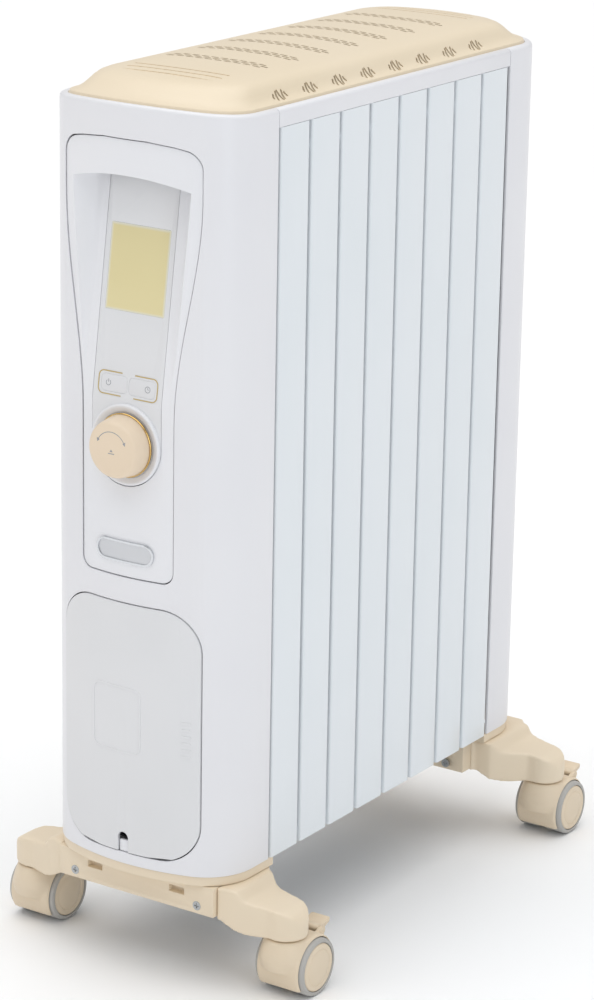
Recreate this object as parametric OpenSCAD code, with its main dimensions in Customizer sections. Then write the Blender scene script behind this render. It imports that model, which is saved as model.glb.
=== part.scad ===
// Oil filled radiator heater on four braked swivel casters, in millimetres.
// +X is the right side, the control panel faces -Y, the fins stack along +Y, +Z is up.
// The origin is on the floor, below the middle of the whole heater.

/* [Body] */
// Width over the fin flanges
body_w = 160; // [140:1:190]
// Height of the underside of the fins above the floor
fin_bottom = 88; // [86:1:110]
// Height of a fin
fin_h = 533; // [500:1:640]
// Distance from one fin to the next
fin_pitch = 37.6; // [32:0.1:45]
// Gap between two neighbouring fin flanges
fin_gap = 3.2; // [2:0.1:5]
// Depth of the front housing ahead of the fins
front_depth = 70; // [66:1:82]
// Depth of the rear cover behind the fins
rear_depth = 70; // [56:1:82]
// Radius of the upright corners in plan
corner_r = 40; // [32:1:46]
// Radius of the gently crowned front and rear faces in plan
crown_r = 167; // [150:1:220]
// Wall of the moulded covers
wall = 2.5; // [2:0.1:3]

/* [Top cover] */
// Height of the crown of the cover above the fins
cover_rise = 36; // [34:1:42]
// Height of the white rim above the fins
rim_rise = 13; // [12:0.5:15]
// Width of the white side rail and of the rim round the cover
rim_w = 6; // [5:0.5:8]

/* [Control panel] */
// Top of the panel above the underside of the fins
panel_top = 526; // [510:1:528]
// Bottom of the panel above the underside of the fins
panel_bottom = 217; // [205:1:225]
// Half width of the panel at its top
panel_half_top = 57; // [55:0.5:58]
// Half width of the panel at its bottom
panel_half_low = 38.5; // [36:0.5:42]
// Height of the handle bar at the top of the panel
hood_h = 25; // [20:1:30]
// Half width of the fascia strip
fascia_half = 29.4; // [28:0.1:30]
// Angle that the upper fascia leans back
fascia_lean = 8; // [4:0.5:9]
// Width of the display
display_w = 50; // [40:1:52]
// Height of the display
display_h = 60; // [50:1:64]
// Width of one push button
button_w = 22; // [16:0.5:23]
// Height of one push button
button_h = 12; // [10:0.5:13]
// Travel of a push button
button_travel = 0.6; // [0.4:0.1:1]

/* [Knob] */
// Height of the knob's centre above the underside of the fins
knob_height = 312; // [306:1:315]
// Radius of the knob at its base
knob_r = 22; // [18:0.5:23]
// Radius of the knob's face
knob_face_r = 19.5; // [14:0.5:20]
// Depth of the knob
knob_depth = 16.5; // [12:0.5:20]
// Radius of the rotary switch's shaft
shaft_r = 3; // [2.5:0.1:3.5]
// Travel of the knob when it is pushed
knob_travel = 0.8; // [0.5:0.1:1]

/* [Cord door] */
// Half width of the door
door_half = 59; // [54:0.5:60]
// Bottom edge of the door above the underside of the fins
door_bottom = 9.5; // [8:0.5:14]
// Height of the door
door_h = 187.5; // [150:0.5:190]
// Radius of the door's corners
door_r = 29; // [20:1:32]
// Gap round the door and round the panel
seam = 0.9; // [0.8:0.1:1.2]
// Radius of the door's hinge pins
door_pin_r = 1; // [0.8:0.1:1.2]

/* [Base and casters] */
// Distance of each swivel axis from the middle of the heater
swivel_x = 112; // [108:1:125]
// Distance of the front swivel axis ahead of the fins
front_swivel = 26; // [20:1:34]
// Distance of the rear swivel axis behind the fins
rear_swivel = 41; // [34:1:46]
// Underside of the foot arms above the floor
arm_bottom = 46.4; // [46:0.2:48]
// Radius of the rounded end of an arm
arm_r = 16; // [14:0.5:20]
// Radius of a caster wheel
wheel_r = 21.5; // [18:0.5:21.5]
// Width over the two wheels of a caster
caster_w = 42; // [34:1:44]
// Distance of a wheel's axle behind the swivel axis
trail = 12; // [8:1:14]
// Radius of a caster's stem
stem_r = 4; // [3:0.5:5]
// Radius of a caster's axle
axle_r = 3; // [2:0.5:4]

/* [Clearances] */
// Radial clearance of a turning fit
fit = 0.05; // [0.03:0.01:0.08]
// Gap between pieces that slide or swing past each other
play = 0.4; // [0.3:0.1:0.5]

/* [Hidden] */
$fn = 64;
eps = 0.01;
big = 400;

fin_count = 8;
half_w = body_w / 2;
fin_top = fin_bottom + fin_h;
stack = fin_count * fin_pitch;

// Places along Y. The front-most point is the knob's face, the rear-most a brake lever's tip.
fascia_back = 3.2;
knob_stand = knob_travel + play;
front_reach = front_depth - fascia_back + knob_stand + knob_depth;
lever_angle = 50;
lever_pivot_r = wheel_r + 5.6;
brake_turn = 15;
brake_toe = 5.4;
lever_reach = 12.5;
lever_y = trail + lever_pivot_r * cos(lever_angle);
lever_z = wheel_r + lever_pivot_r * sin(lever_angle);
rear_reach = rear_swivel + lever_y + lever_reach;
front_seam = (front_reach - stack - rear_reach) / 2;
rear_seam = front_seam + stack;
fascia_y = front_seam - front_depth + fascia_back;

function arc(x, y, r, from, to, steps) = [for (i = [0:steps])
    let (a = from + (to - from) * i / steps) [x + r * cos(a), y + r * sin(a)]];

// Plan of the covers: two corner arcs that run into one crown arc
crown_turn = acos((half_w - corner_r) / (crown_r - corner_r));
function corner_y(depth) = -depth + crown_r - (crown_r - corner_r) * sin(crown_turn);

// Plan outline ahead of y = 0 from right to left, moved in by off
function plan_points(depth, off) = concat([[half_w - off, 0]],
    arc(half_w - corner_r, corner_y(depth), corner_r - off, 0, -crown_turn, 12),
    arc(0, crown_r - depth, crown_r - off, -crown_turn - 3, crown_turn - 177, 12),
    arc(corner_r - half_w, corner_y(depth), corner_r - off, crown_turn - 180, -180, 12),
    [[off - half_w, 0]]);

module plan(depth, off = 0) {
    polygon(plan_points(depth, off));
}

module front_plan(off = 0) {
    translate([0, front_seam])
        plan(front_depth, off);
}

module rear_plan(off = 0) {
    translate([0, rear_seam])
        mirror([0, 1])
            plan(rear_depth, off);
}

// Extrudes an outline drawn in X and Z from y0 to y1
module along_y(y0, y1) {
    translate([0, y1, 0])
        rotate([90, 0, 0])
            linear_extrude(y1 - y0)
                children();
}

// Extrudes an outline drawn in Y and Z from x0 to x1
module along_x(x0, x1) {
    translate([x0, 0, 0])
        rotate([90, 0, 90])
            linear_extrude(x1 - x0)
                children();
}

module y_rod(r, y0, y1) {
    translate([0, y1, 0])
        rotate([90, 0, 0])
            cylinder(r = r, h = y1 - y0);
}

module x_rod(r, x0, x1) {
    translate([x0, 0, 0])
        rotate([0, 90, 0])
            cylinder(r = r, h = x1 - x0);
}

// Box from its lowest to its highest corner
module block(low, high) {
    translate(low)
        cube(high - low);
}

// Rounded rectangle that stands on y = 0; its ends are half round where h or w is 2 r
module round_rect(w, h, r) {
    if (h > 2 * r)
        translate([-w / 2, r])
            square([w, h - 2 * r]);
    if (w > 2 * r)
        translate([r - w / 2, 0])
            square([w - 2 * r, h]);
    for (x = [r - w / 2, w / 2 - r])
        for (y = [r, h - r])
            translate([x, y])
                circle(r = r);
}

// ---- front housing -------------------------------------------------------

rim_top = fin_top + rim_rise;
rim_lift = 5;
housing_end = front_seam - fin_gap / 2;
cover_seat = rim_top - 6;

// Outline of the panel: its sides sweep in between two heights
sweep_top = fin_bottom + panel_top - 39;
sweep_low = fin_bottom + panel_top - 194;
function sweep(t) = t <= 0 ? 0 : t >= 1 ? 1 : t * t * (3 - 2 * t);
function panel_half(z) = panel_half_top
    - (panel_half_top - panel_half_low) * sweep((sweep_top - z) / (sweep_top - sweep_low));

panel_corner_low = 8;
panel_corner_top = 12;
panel_arc_drop = 6;

// Half of the panel's outline, from the middle of its bottom up its right side
function panel_half_outline(grow) =
    let (low = fin_bottom + panel_bottom - grow,
        high = fin_bottom + panel_top + grow,
        half_low = panel_half_low + grow,
        half = panel_half_top + grow,
        r = panel_corner_top,
        crown = (half * half + panel_arc_drop * panel_arc_drop) / (2 * panel_arc_drop),
        crown_z = high - crown,
        corner_z = crown_z + sqrt((crown - r) * (crown - r) - (half - r) * (half - r)),
        turn = atan2(corner_z - crown_z, half - r))
    concat(arc(half_low - panel_corner_low, low + panel_corner_low, panel_corner_low, -90, 0, 6),
        [for (i = [0:12])
            let (z = sweep_low + (sweep_top - sweep_low) * i / 12) [panel_half(z) + grow, z]],
        arc(half - r, corner_z, r, 0, turn, 6),
        [for (i = [1:6])
            let (a = turn + (90 - turn) * i / 6) [crown * cos(a), crown_z + crown * sin(a)]]);

module panel_outline(grow = 0) {
    right = panel_half_outline(grow);
    count = len(right);
    polygon(concat(right, [for (i = [count - 2:-1:0]) [-right[i][0], right[i][1]]]));
}

module door_outline(grow = 0) {
    translate([0, fin_bottom + door_bottom - grow])
        round_rect(2 * (door_half + grow), door_h + 2 * grow, door_r + grow);
}

// Side view of the front housing: its top edge rises towards the front
module housing_side() {
    front = front_seam - front_depth;
    polygon(concat([[front - 1, fin_bottom], [housing_end, fin_bottom], [housing_end, rim_top]],
        [for (i = [0:8])
            let (t = i / 8) [housing_end + (front - 1 - housing_end) * t, rim_top + rim_lift * t * t * t]]));
}

module front_housing() color("whitesmoke") {
    difference() {
        union() {
            intersection() {
                linear_extrude(big * 2)
                    difference() {
                        front_plan();
                        front_plan(wall);
                    }
                along_x(-half_w, half_w)
                    housing_side();
            }
            translate([0, 0, cover_seat - wall])
                linear_extrude(wall)
                    difference() {
                        intersection() {
                            front_plan(wall - eps);
                            translate([-half_w, housing_end - big])
                                square([body_w, big]);
                        }
                        front_plan(rim_w + 6);
                    }
        }
        along_y(front_seam - front_depth - 1, corner_front)
            panel_outline(seam);
        along_y(front_seam - front_depth - 1, corner_front)
            door_outline(seam);
    }
}
corner_front = front_seam - 30;

// ---- control panel -------------------------------------------------------

panel_sink = 0.8;
knob_z = fin_bottom + knob_height;
lean_z = knob_z + 30;
hood_low = fin_bottom + panel_top - hood_h;
fascia_top = fin_bottom + panel_top - 14;
lean_len = (fascia_top - lean_z) / cos(fascia_lean);
plate = 2.5;
bezel_r = fascia_half - 0.4;

// Frame of the leaning upper fascia: y = 0 is its outer face, z runs up it from the fold
module leaning() {
    translate([0, fascia_y, lean_z])
        rotate([-fascia_lean, 0, 0])
            children();
}

// Hollow ahead of the fascia, between side walls that flare outwards
wall_flare = 1.1;
hollow_len = (hood_low - 3.5 - lean_z) / cos(fascia_lean);

module panel_hollow() {
    deep = 40;
    half = fascia_half + 0.1;
    leaning()
        linear_extrude(hollow_len)
            polygon([[-half, 0], [half, 0],
                [half + deep * wall_flare, -deep], [-half - deep * wall_flare, -deep]]);
}

module keyhole(high, grow = 0) {
    half = fascia_half + grow;
    polygon(concat([[-half, high]], arc(0, knob_z, half, 180, 360, 32), [[half, high]]));
}

// Side section of the keyhole plate and of what lies behind its face, set back by off
module fascia_side(low, high, off, thick) {
    lean = tan(fascia_lean);
    fold = lean_z - off * tan(fascia_lean / 2);
    fold_back = lean_z - (off + thick) * tan(fascia_lean / 2);
    front = fascia_y + off;
    polygon([[front, low], [front, fold], [front + (high - fold) * lean, high],
        [front + thick + (high - fold_back) * lean, high], [front + thick, fold_back], [front + thick, low]]);
}

bar_depth = 11;

module panel_surround() color("white") {
    difference() {
        intersection() {
            linear_extrude(big * 2)
                front_plan(panel_sink);
            along_y(front_seam - front_depth - 1, front_seam - 30)
                panel_outline();
            along_x(-half_w, half_w)
                polygon([[fascia_y - 10, fin_bottom], [fascia_y + 3, fin_bottom],
                    [fascia_y + 3, lean_z - 12],
                    [fascia_y + 3 + (fin_top - lean_z) * tan(fascia_lean), fin_top],
                    [fascia_y - 10, fin_top]]);
        }
        panel_hollow();
        intersection() {
            along_y(fascia_y - 20, front_seam)
                keyhole(fascia_top + 0.2, 0.2);
            along_x(-half_w, half_w)
                polygon([[fascia_y - 20, fin_bottom], [fascia_y - 20, lean_z + 3], [fascia_y + 0.2, lean_z + 3],
                    [fascia_y - 0.2 + (fin_top - lean_z) * tan(fascia_lean), fin_top],
                    [front_seam, fin_top], [front_seam, fin_bottom]]);
        }
        // finger space between the handle bar and the fascia
        block([-44, front_seam - front_depth + bar_depth + 2, hood_low - 4],
            [44, fascia_y + (hood_low - lean_z) * tan(fascia_lean), hood_low + 16]);
    }
}

button_z = 5.6;
display_gap = 44.8;
button_x = button_w / 2 + 0.8;
display_z = button_z + button_h + display_gap;

module fascia() color("gainsboro") {
    difference() {
        intersection() {
            along_y(fascia_y - 1, front_seam)
                keyhole(fascia_top);
            along_x(-half_w, half_w)
                fascia_side(fin_bottom, fin_top, 0, plate);
        }
        leaning() {
            block([-display_w / 2 - 0.1, -1, display_z - 0.1],
                [display_w / 2 + 0.1, plate + 1, display_z + display_h + 0.1]);
            for (s = [-1, 1])
                translate([s * button_x, 0, button_z - play])
                    along_y(-1, plate + 1)
                        round_rect(button_w + 2 * play, button_h + 2 * play, 3 + play);
        }
        translate([0, 0, knob_z])
            y_rod(5.1, fascia_y - 1, fascia_y + plate + 1);
    }
}

module display_window() color("khaki") {
    leaning()
        block([-display_w / 2, 0.1, display_z], [display_w / 2, plate, display_z + display_h]);
}

module display_module() color("dimgray") {
    leaning()
        block([-display_w / 2 - 2, plate + 0.05, display_z - 2],
            [display_w / 2 + 2, plate + 6, display_z + display_h + 2]);
}

// A push button with a switch stem behind it
module button(side) {
    leaning()
        translate([side * button_x, 0, button_z]) {
            along_y(0.2, plate + 1.2)
                round_rect(button_w, button_h, 3);
            translate([0, 0, button_h / 2])
                y_rod(1.6, plate + 1, plate + 3.2);
        }
}

module power_button() color("gainsboro") button(-1);

module timer_button() color("gainsboro") button(1);

// Two bracket shaped trims round the outer ends of the buttons
module button_trim() color("tan") {
    w = 2 * button_w + 6.4;
    h = button_h + 4.4;
    leaning()
        difference() {
            translate([0, 0, button_z + button_h / 2 - h / 2])
                along_y(-0.4, 0)
                    difference() {
                        round_rect(w, h, 5);
                        translate([0, 1.1])
                            round_rect(w - 2.2, h - 2.2, 4);
                    }
            block([-5, -1, 0], [5, 1, h + button_z]);
        }
}

board_y = plate + 6.05;

// Circuit board behind the display, with a switch body behind each button
module control_board() color("seagreen") {
    leaning() {
        difference() {
            block([-27, board_y, 2], [27, board_y + 1.6, lean_len - 20]);
            block([-20, board_y - 1, 40], [20, board_y + 3, 46]);
        }
        for (x = [-button_x, button_x])
            block([x - 3, plate + 3.5 + button_travel, button_z + button_h / 2 - 3],
                [x + 3, board_y + eps, button_z + button_h / 2 + 3]);
    }
}

// ---- knob ----------------------------------------------------------------

knob_back = fascia_y - knob_stand;

module at_knob() {
    translate([0, 0, knob_z])
        children();
}

// Turns an outline of radius and depth ahead of the fascia round the knob's axis
module about_knob() {
    translate([0, 0, knob_z])
        rotate([90, 0, 0])
            rotate_extrude()
                children();
}

module knob() color("wheat") {
    ahead = -knob_back;
    difference() {
        about_knob()
            polygon([[0, ahead], [knob_r, ahead], [knob_r, ahead + 2],
                [knob_face_r + 1, ahead + knob_depth - 1.6], [knob_face_r, ahead + knob_depth - 0.4],
                [knob_face_r - 1.4, ahead + knob_depth], [0, ahead + knob_depth]]);
        at_knob() {
            difference() {
                y_rod(knob_face_r - 2.5, knob_back - knob_depth + 3, knob_back + 1);
                y_rod(shaft_r + 3, knob_back - knob_depth - 1, knob_back + 2);
            }
            y_rod(shaft_r + fit, knob_back - knob_depth + 3, knob_back + 1);
        }
    }
}

module knob_collar() color("darkgoldenrod") {
    at_knob()
        difference() {
            y_rod(knob_r + 0.9, knob_back - 1.8, knob_back - 0.2);
            y_rod(knob_r + 0.02, knob_back - 3, knob_back + 1);
        }
}

module knob_bezel() color("white") {
    ahead = -fascia_y;
    about_knob()
        polygon([[knob_r + 1.6, ahead], [bezel_r, ahead], [bezel_r, ahead + 1.6],
            [bezel_r - 1, ahead + 2.4], [knob_r + 3, ahead + 1.4], [knob_r + 1.6, ahead + 0.8]]);
}

module encoder_body() color("silver") {
    at_knob()
        difference() {
            union() {
                y_rod(5, fascia_y + 0.1, fascia_y + plate + 1);
                block([-7, fascia_y + plate + 0.05, -7], [7, fascia_y + plate + 7.5, 7]);
            }
            y_rod(shaft_r + fit, fascia_y - 1, fascia_y + plate + 9);
        }
}

module encoder_shaft() color("dimgray") {
    at_knob()
        y_rod(shaft_r, knob_back - knob_depth + 3.2, fascia_y + plate + 6);
}

// Shell that follows the crowned front, from one depth under it to another
module crown_shell(from, to) {
    translate([0, front_seam - front_depth + crown_r, fin_bottom])
        linear_extrude(fin_h)
            difference() {
                circle(r = crown_r - from);
                circle(r = crown_r - to);
            }
}

// Plain badge with a raised rim, bent to the crowned panel
module badge_plate() color("silver") {
    badge_w = 49;
    badge_h = 16;
    rim = 1.6;
    badge_z = fin_bottom + panel_bottom + 10;
    front = front_seam - front_depth;
    difference() {
        intersection() {
            crown_shell(-0.5, panel_sink - 0.04);
            along_y(front - 2, front + 10)
                translate([0, badge_z])
                    round_rect(badge_w, badge_h, badge_h / 2);
        }
        intersection() {
            crown_shell(-1, 0.1);
            along_y(front - 2, front + 10)
                translate([0, badge_z + rim])
                    round_rect(badge_w - 2 * rim, badge_h - 2 * rim, badge_h / 2 - rim);
        }
    }
}

module power_board() color("seagreen") {
    y = bulkhead_y - 12;
    block([-45, y, knob_z - 90], [45, y + 1.6, knob_z - 15]);
    block([-36, y - 16, knob_z - 80], [-14, y, knob_z - 50]);
    block([8, y - 16, knob_z - 80], [30, y, knob_z - 50]);
    for (x = [-38, 38])
        translate([x, 0, knob_z - 22])
            y_rod(3, y + 1.6, bulkhead_y);
}

bulkhead_y = front_seam - 6;

module front_bulkhead() color("darkgray") {
    difference() {
        block([wall + 0.05 - half_w, bulkhead_y, fin_bottom + 8],
            [half_w - wall - 0.05, bulkhead_y + 1.2, fin_top - 8]);
        translate([0, 0, header_low])
            y_rod(flange_r + 2, bulkhead_y - 1, bulkhead_y + 3);
    }
}

// ---- cord compartment ----------------------------------------------------

door_out = 0.6;
door_in = door_out - 2.8;
hinge_depth = 5.2;
hinge_rise = 5;
hinge_y = front_seam - front_depth + hinge_depth;
hinge_z = fin_bottom + door_bottom - hinge_rise;
knuckle_r = 1.7;
arm_x = 11;
arm_half = 3;
lug_w = 2.3;

// Circle that the opening's lower edge sweeps in the door as the door opens
door_swing_r = sqrt((hinge_rise - seam) * (hinge_rise - seam) + hinge_depth * hinge_depth) + 0.12;

// Frame of the hinge axis, which runs along X below the door's lower edge
module at_hinge() {
    translate([0, hinge_y, hinge_z])
        children();
}

module cord_door() color("gainsboro") {
    notch_w = 9;
    difference() {
        intersection() {
            linear_extrude(big)
                difference() {
                    translate([0, front_seam])
                        plan(front_depth, -door_out);
                    front_plan(-door_in);
                }
            along_y(front_seam - front_depth - 2, corner_front)
                door_outline();
        }
        at_hinge()
            x_rod(door_swing_r, -door_half, door_half);
        along_y(front_seam - front_depth - 2, corner_front)
            translate([0, fin_bottom + door_bottom - 10])
                round_rect(notch_w, 25, notch_w / 2);
    }
    // two goosenecks that reach round the opening's lower edge
    for (s = [-1, 1])
        at_hinge()
            difference() {
                union() {
                    x_rod(knuckle_r, s * arm_x - arm_half, s * arm_x + arm_half);
                    along_x(s * arm_x - arm_half, s * arm_x + arm_half)
                        polygon([[0, -knuckle_r], [7, -knuckle_r], [7, 11], [-3.6, 14],
                            [-3.6, 9], [5, 7.6], [5, 1.1], [0, 1.1]]);
                }
                x_rod(door_pin_r + fit, -20, 20);
            }
}

module door_hinge_pins() color("silver") {
    for (s = [-1, 1])
        at_hinge()
            x_rod(door_pin_r, s * arm_x - arm_half - play - lug_w, s * arm_x + arm_half + play + lug_w);
}

tray_half = door_half + 4.5;
tray_back = front_seam - 18;
tray_low = fin_bottom + door_bottom - 5;
tray_high = fin_bottom + door_bottom + door_h + 5;

module cord_tray() color("white") {
    difference() {
        union() {
            intersection() {
                linear_extrude(big)
                    front_plan(wall + 0.1);
                block([-tray_half, front_seam - front_depth, tray_low], [tray_half, tray_back, tray_high]);
            }
            for (s = [-1, 1])
                at_hinge()
                    block([s * arm_x - arm_half - play - lug_w, -1.6, -1.9],
                        [s * arm_x + arm_half + play + lug_w, 3, 1]);
        }
        block([-tray_half + 2, front_seam - front_depth - 1, tray_low + 2],
            [tray_half - 2, tray_back - 2, tray_high - 2]);
        for (s = [-1, 1])
            at_hinge()
                block([s * arm_x - arm_half - play, -8, -8], [s * arm_x + arm_half + play, 7 + play, 8]);
        at_hinge()
            x_rod(door_pin_r + 0.01, -20, 20);
        translate([gland_x, 0, gland_z])
            y_rod(gland_r, tray_back - 5, tray_back + 5);
    }
}

gland_r = 8;
gland_x = -36;
gland_z = fin_bottom + 40;

module cable_gland() color("dimgray") {
    translate([gland_x, 0, gland_z])
        difference() {
            union() {
                y_rod(gland_r - fit, tray_back - 6, tray_back + 6);
                y_rod(gland_r + 3, tray_back - 9, tray_back - 2.05);
                y_rod(gland_r + 2, tray_back + 0.05, tray_back + 3);
            }
            y_rod(4, tray_back - 10, tray_back + 7);
        }
}

// ---- top cover, rails and rear cover -------------------------------------

cover_top = fin_top + cover_rise;
cover_end = rear_seam + rear_depth;

// Half section of the cover over its width: a crowned plateau and a flared ogee
cover_side = [[0, cover_seat], [0, rim_top], [4, rim_top + 2.5], [8, rim_top + 7], [12, rim_top + 12.5],
    [18, rim_top + 16], [30, cover_top - 4.5], [50, cover_top - 1.4]];
function cover_edge(s, off) = [for (p = cover_side)
    [s * (half_w - rim_w - p[0] - off), p[1] - (p[1] > cover_seat ? off : 0)]];

module cover_width(off = 0) {
    left = cover_edge(-1, off);
    polygon(concat(cover_edge(1, off), [[0, cover_top - off]], [for (i = [len(left) - 1:-1:0]) left[i]]));
}

// Section of the cover over its length
module cover_length(off = 0) {
    front = front_seam - front_depth + rim_w + off;
    back = cover_end - rim_w - off;
    high = cover_top - off;
    polygon([[front, cover_seat], [front, rim_top + 3.5 - off], [front + 6, rim_top + 5 - off],
        [front + 14, rim_top + 10 - off], [front + 20, high - 6], [front + 30, high - 4],
        [front + 75, high - 1], [(front + back) / 2, high], [back - 75, high - 1],
        [back - 30, high - 4], [back - 20, high - 6], [back - 14, rim_top + 10 - off],
        [back - 6, rim_top + 5 - off], [back, rim_top + 1.5 - off], [back, cover_seat]]);
}

// Plan of the whole heater's top, moved in by off
module whole_plan(off) {
    polygon(concat([for (p = plan_points(front_depth, off)) [p[0], p[1] + front_seam]],
        [for (p = plan_points(rear_depth, off)) [-p[0], rear_seam - p[1]]]));
}

module cover_solid(off = 0) {
    intersection() {
        translate([0, 0, cover_seat])
            linear_extrude(cover_top - cover_seat + 1)
                whole_plan(rim_w + off + 0.3);
        along_y(front_seam - front_depth, cover_end)
            cover_width(off + 0.3);
        along_x(-half_w, half_w)
            cover_length(off);
    }
}

slot_half = 44;

module top_cover() color("wheat") {
    difference() {
        cover_solid();
        translate([0, 0, -eps])
            cover_solid(wall);
        for (i = [1:fin_count - 1])
            for (row = [-1, 0, 1])
                translate([0, front_seam + i * fin_pitch + row * 4.2, cover_top - 12])
                    linear_extrude(20)
                        translate([0, -1])
                            round_rect(2 * slot_half - 4 * abs(row), 2, 0.9);
    }
}

rail_gap = 0.8;

// White rail that rests on the fins; the cover stands on its inner lip
module side_rail(side) {
    x0 = half_w - rim_w;
    along_y(housing_end + rail_gap, rear_seam + fin_gap / 2 - rail_gap)
        polygon([for (p = [[x0, fin_top], [half_w, fin_top], [half_w, rim_top - 4],
            [half_w - 1.2, rim_top - 1.2], [half_w - 3.5, rim_top], [x0, rim_top], [x0, cover_seat],
            [x0 - 8, cover_seat], [x0 - 8, cover_seat - wall], [x0, cover_seat - wall]]) [side * p[0], p[1]]]);
}

module side_rail_left() color("white") side_rail(-1);

module side_rail_right() color("white") side_rail(1);

module rear_cover() color("whitesmoke") {
    start = rear_seam + fin_gap / 2;
    difference() {
        union() {
            translate([0, 0, fin_bottom])
                linear_extrude(rim_top - fin_bottom)
                    difference() {
                        rear_plan();
                        rear_plan(wall);
                    }
            translate([0, 0, cover_seat - wall])
                linear_extrude(wall)
                    difference() {
                        rear_plan(wall - eps);
                        rear_plan(rim_w + 6);
                    }
        }
        block([-big, rear_seam - big, 0], [big, start, big * 2]);
        // vents low and high in the back wall
        for (z = [fin_bottom + 40, fin_top - 120])
            for (i = [0:6])
                translate([0, 0, z + i * 12])
                    along_y(cover_end - 12, cover_end + 1)
                        round_rect(70, 5, 2.4);
    }
}

// ---- oil filled fins and headers -----------------------------------------

header_low = fin_bottom + 39;
header_high = fin_top - 39;
header_r = 16;
hub_wall = 3;
sheet = 0.8;
flute_r = 5.6;
flute_low = header_low + 34;
flute_high = header_high - 34;
flute_x = [-52, -26, 0, 26, 52];

// One fin: two pressed sheets with sealed oil channels and a wide flange at each side
module fin(index) color("aliceblue") {
    y = front_seam + (index - 0.5) * fin_pitch;
    reach = (fin_pitch - fin_gap) / 2;
    translate([0, y, 0])
        difference() {
            union() {
                block([sheet / 2 - half_w, -sheet, fin_bottom + 4], [half_w - sheet / 2, sheet, fin_top - 4]);
                for (s = [-1, 1])
                    block([s > 0 ? half_w - sheet : -half_w, -reach, fin_bottom],
                        [s > 0 ? half_w : sheet - half_w, reach, fin_top]);
                for (x = flute_x)
                    translate([x, 0, flute_low])
                        cylinder(r = flute_r, h = flute_high - flute_low);
                for (z = [header_low, header_high])
                    translate([0, 0, z])
                        y_rod(header_r + hub_wall, -fin_pitch / 2 + 0.2, fin_pitch / 2 - 0.2);
            }
            for (z = [header_low, header_high])
                translate([0, 0, z])
                    y_rod(header_r + fit, -fin_pitch, fin_pitch);
            for (x = flute_x)
                translate([x, 0, flute_low + 2 * sheet])
                    cylinder(r = flute_r - sheet, h = flute_high - flute_low - 4 * sheet);
        }
}

module header(z, plug_r) {
    y0 = front_seam + 0.2;
    y1 = rear_seam - 0.2;
    translate([0, 0, z])
        difference() {
            y_rod(header_r, y0, y1);
            y_rod(header_r - 2.2, y0 - 1, y1 - 4);
            if (plug_r > 0)
                y_rod(plug_r, y1 - 5, y1 + 1);
        }
}

plug_r = 5;

module upper_header() color("silver") {
    header(header_high, plug_r);
    translate([0, 0, header_high])
        y_rod(header_r - 2.2 + eps, front_seam + 0.2, front_seam + 4);
}

module lower_header() color("silver") header(header_low, 0);

flange_r = header_r + hub_wall;

module heating_element() color("dimgray") {
    translate([0, 0, header_low]) {
        y_rod(flange_r, front_seam - 4, front_seam + 0.15);
        y_rod(6, front_seam, rear_seam - 40);
        for (x = [-9, 9])
            translate([x, 0, 0])
                y_rod(2.5, front_seam - 16, front_seam - 3.9);
    }
}

module thermal_cutout() color("black") {
    web = front_seam + fin_pitch / 2 - sheet;
    block([flute_r + 2, web - 9, header_low + 50], [flute_r + 11, web, header_low + 72]);
}

module oil_filler_plug() color("silver") {
    translate([0, 0, header_high]) {
        y_rod(plug_r - 0.02, rear_seam - 5, rear_seam + 2);
        y_rod(plug_r + 2, rear_seam - 0.18, rear_seam + 3);
    }
}

// ---- base ----------------------------------------------------------------

base_top = fin_bottom;
rim_plate = 7.6;
base_inset = 1.6;
front_axis_y = front_seam - front_swivel;
rear_axis_y = rear_seam + rear_swivel;
bar_half = 69;
bar_low = 58;
arm_root = 60;

// Section of an arm over its length: a concave slope that ends in a rounded nose
module arm_side(s) {
    nose = swivel_x + arm_r;
    polygon([for (p = [[arm_root, arm_bottom], [nose, arm_bottom], [nose, arm_bottom + 13],
        [nose - 2, arm_bottom + 18], [nose - 7, arm_bottom + 21.5], [nose - 20, arm_bottom + 24],
        [nose - 31, arm_bottom + 26.5], [half_w + 8, base_top - 11], [half_w + 2, base_top - 4.5],
        [half_w - 1, base_top], [arm_root, base_top]]) [s * p[0], p[1]]]);
}

// Plan of an arm, relative to the seam and the swivel axis
module arm_plan(s, axis_y, front_root, back_root, bar_y) {
    translate([s * swivel_x, axis_y])
        circle(r = arm_r);
    polygon([for (p = [[bar_half + 0.3, front_root], [bar_half + 14, front_root + 3],
        [swivel_x - 6, axis_y - arm_r + 0.5], [swivel_x, axis_y - arm_r], [swivel_x, axis_y + arm_r],
        [swivel_x - 18, axis_y + arm_r + 3], [half_w, back_root - 5], [half_w - 4, back_root],
        [arm_root, back_root], [arm_root, bar_y], [bar_half + 0.3, bar_y]]) [s * p[0], p[1]]]);
}

module stem_bores(axis_y) {
    for (s = [-1, 1])
        translate([s * swivel_x, axis_y, arm_bottom - 1])
            cylinder(r = stem_r + fit, h = 17);
}

module front_base() color("wheat") {
    bar_y = front_seam - 54;
    difference() {
        union() {
            translate([0, 0, base_top - rim_plate])
                linear_extrude(rim_plate - 0.05)
                    front_plan(base_inset);
            for (s = [-1, 1])
                intersection() {
                    translate([0, 0, arm_bottom])
                        linear_extrude(base_top - arm_bottom - 0.05)
                            arm_plan(s, front_axis_y, front_seam - 51, front_seam + 6, bar_y + 13);
                    along_y(front_seam - 80, front_seam + 30)
                        arm_side(s);
                }
            for (x = screw_x)
                block([x - 6, bar_y + 12, bar_low + 1], [x + 6, bar_y + 22, base_top - rim_plate + eps]);
            block([-arm_root - 1, front_seam - 8, base_top - rim_plate],
                [arm_root + 1, front_seam + 6, base_top - 0.05]);
        }
        stem_bores(front_axis_y);
        for (x = screw_x)
            translate([x, 0, screw_z])
                y_rod(screw_r + 0.01, bar_y + 11, bar_y + 20);
    }
}

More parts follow.
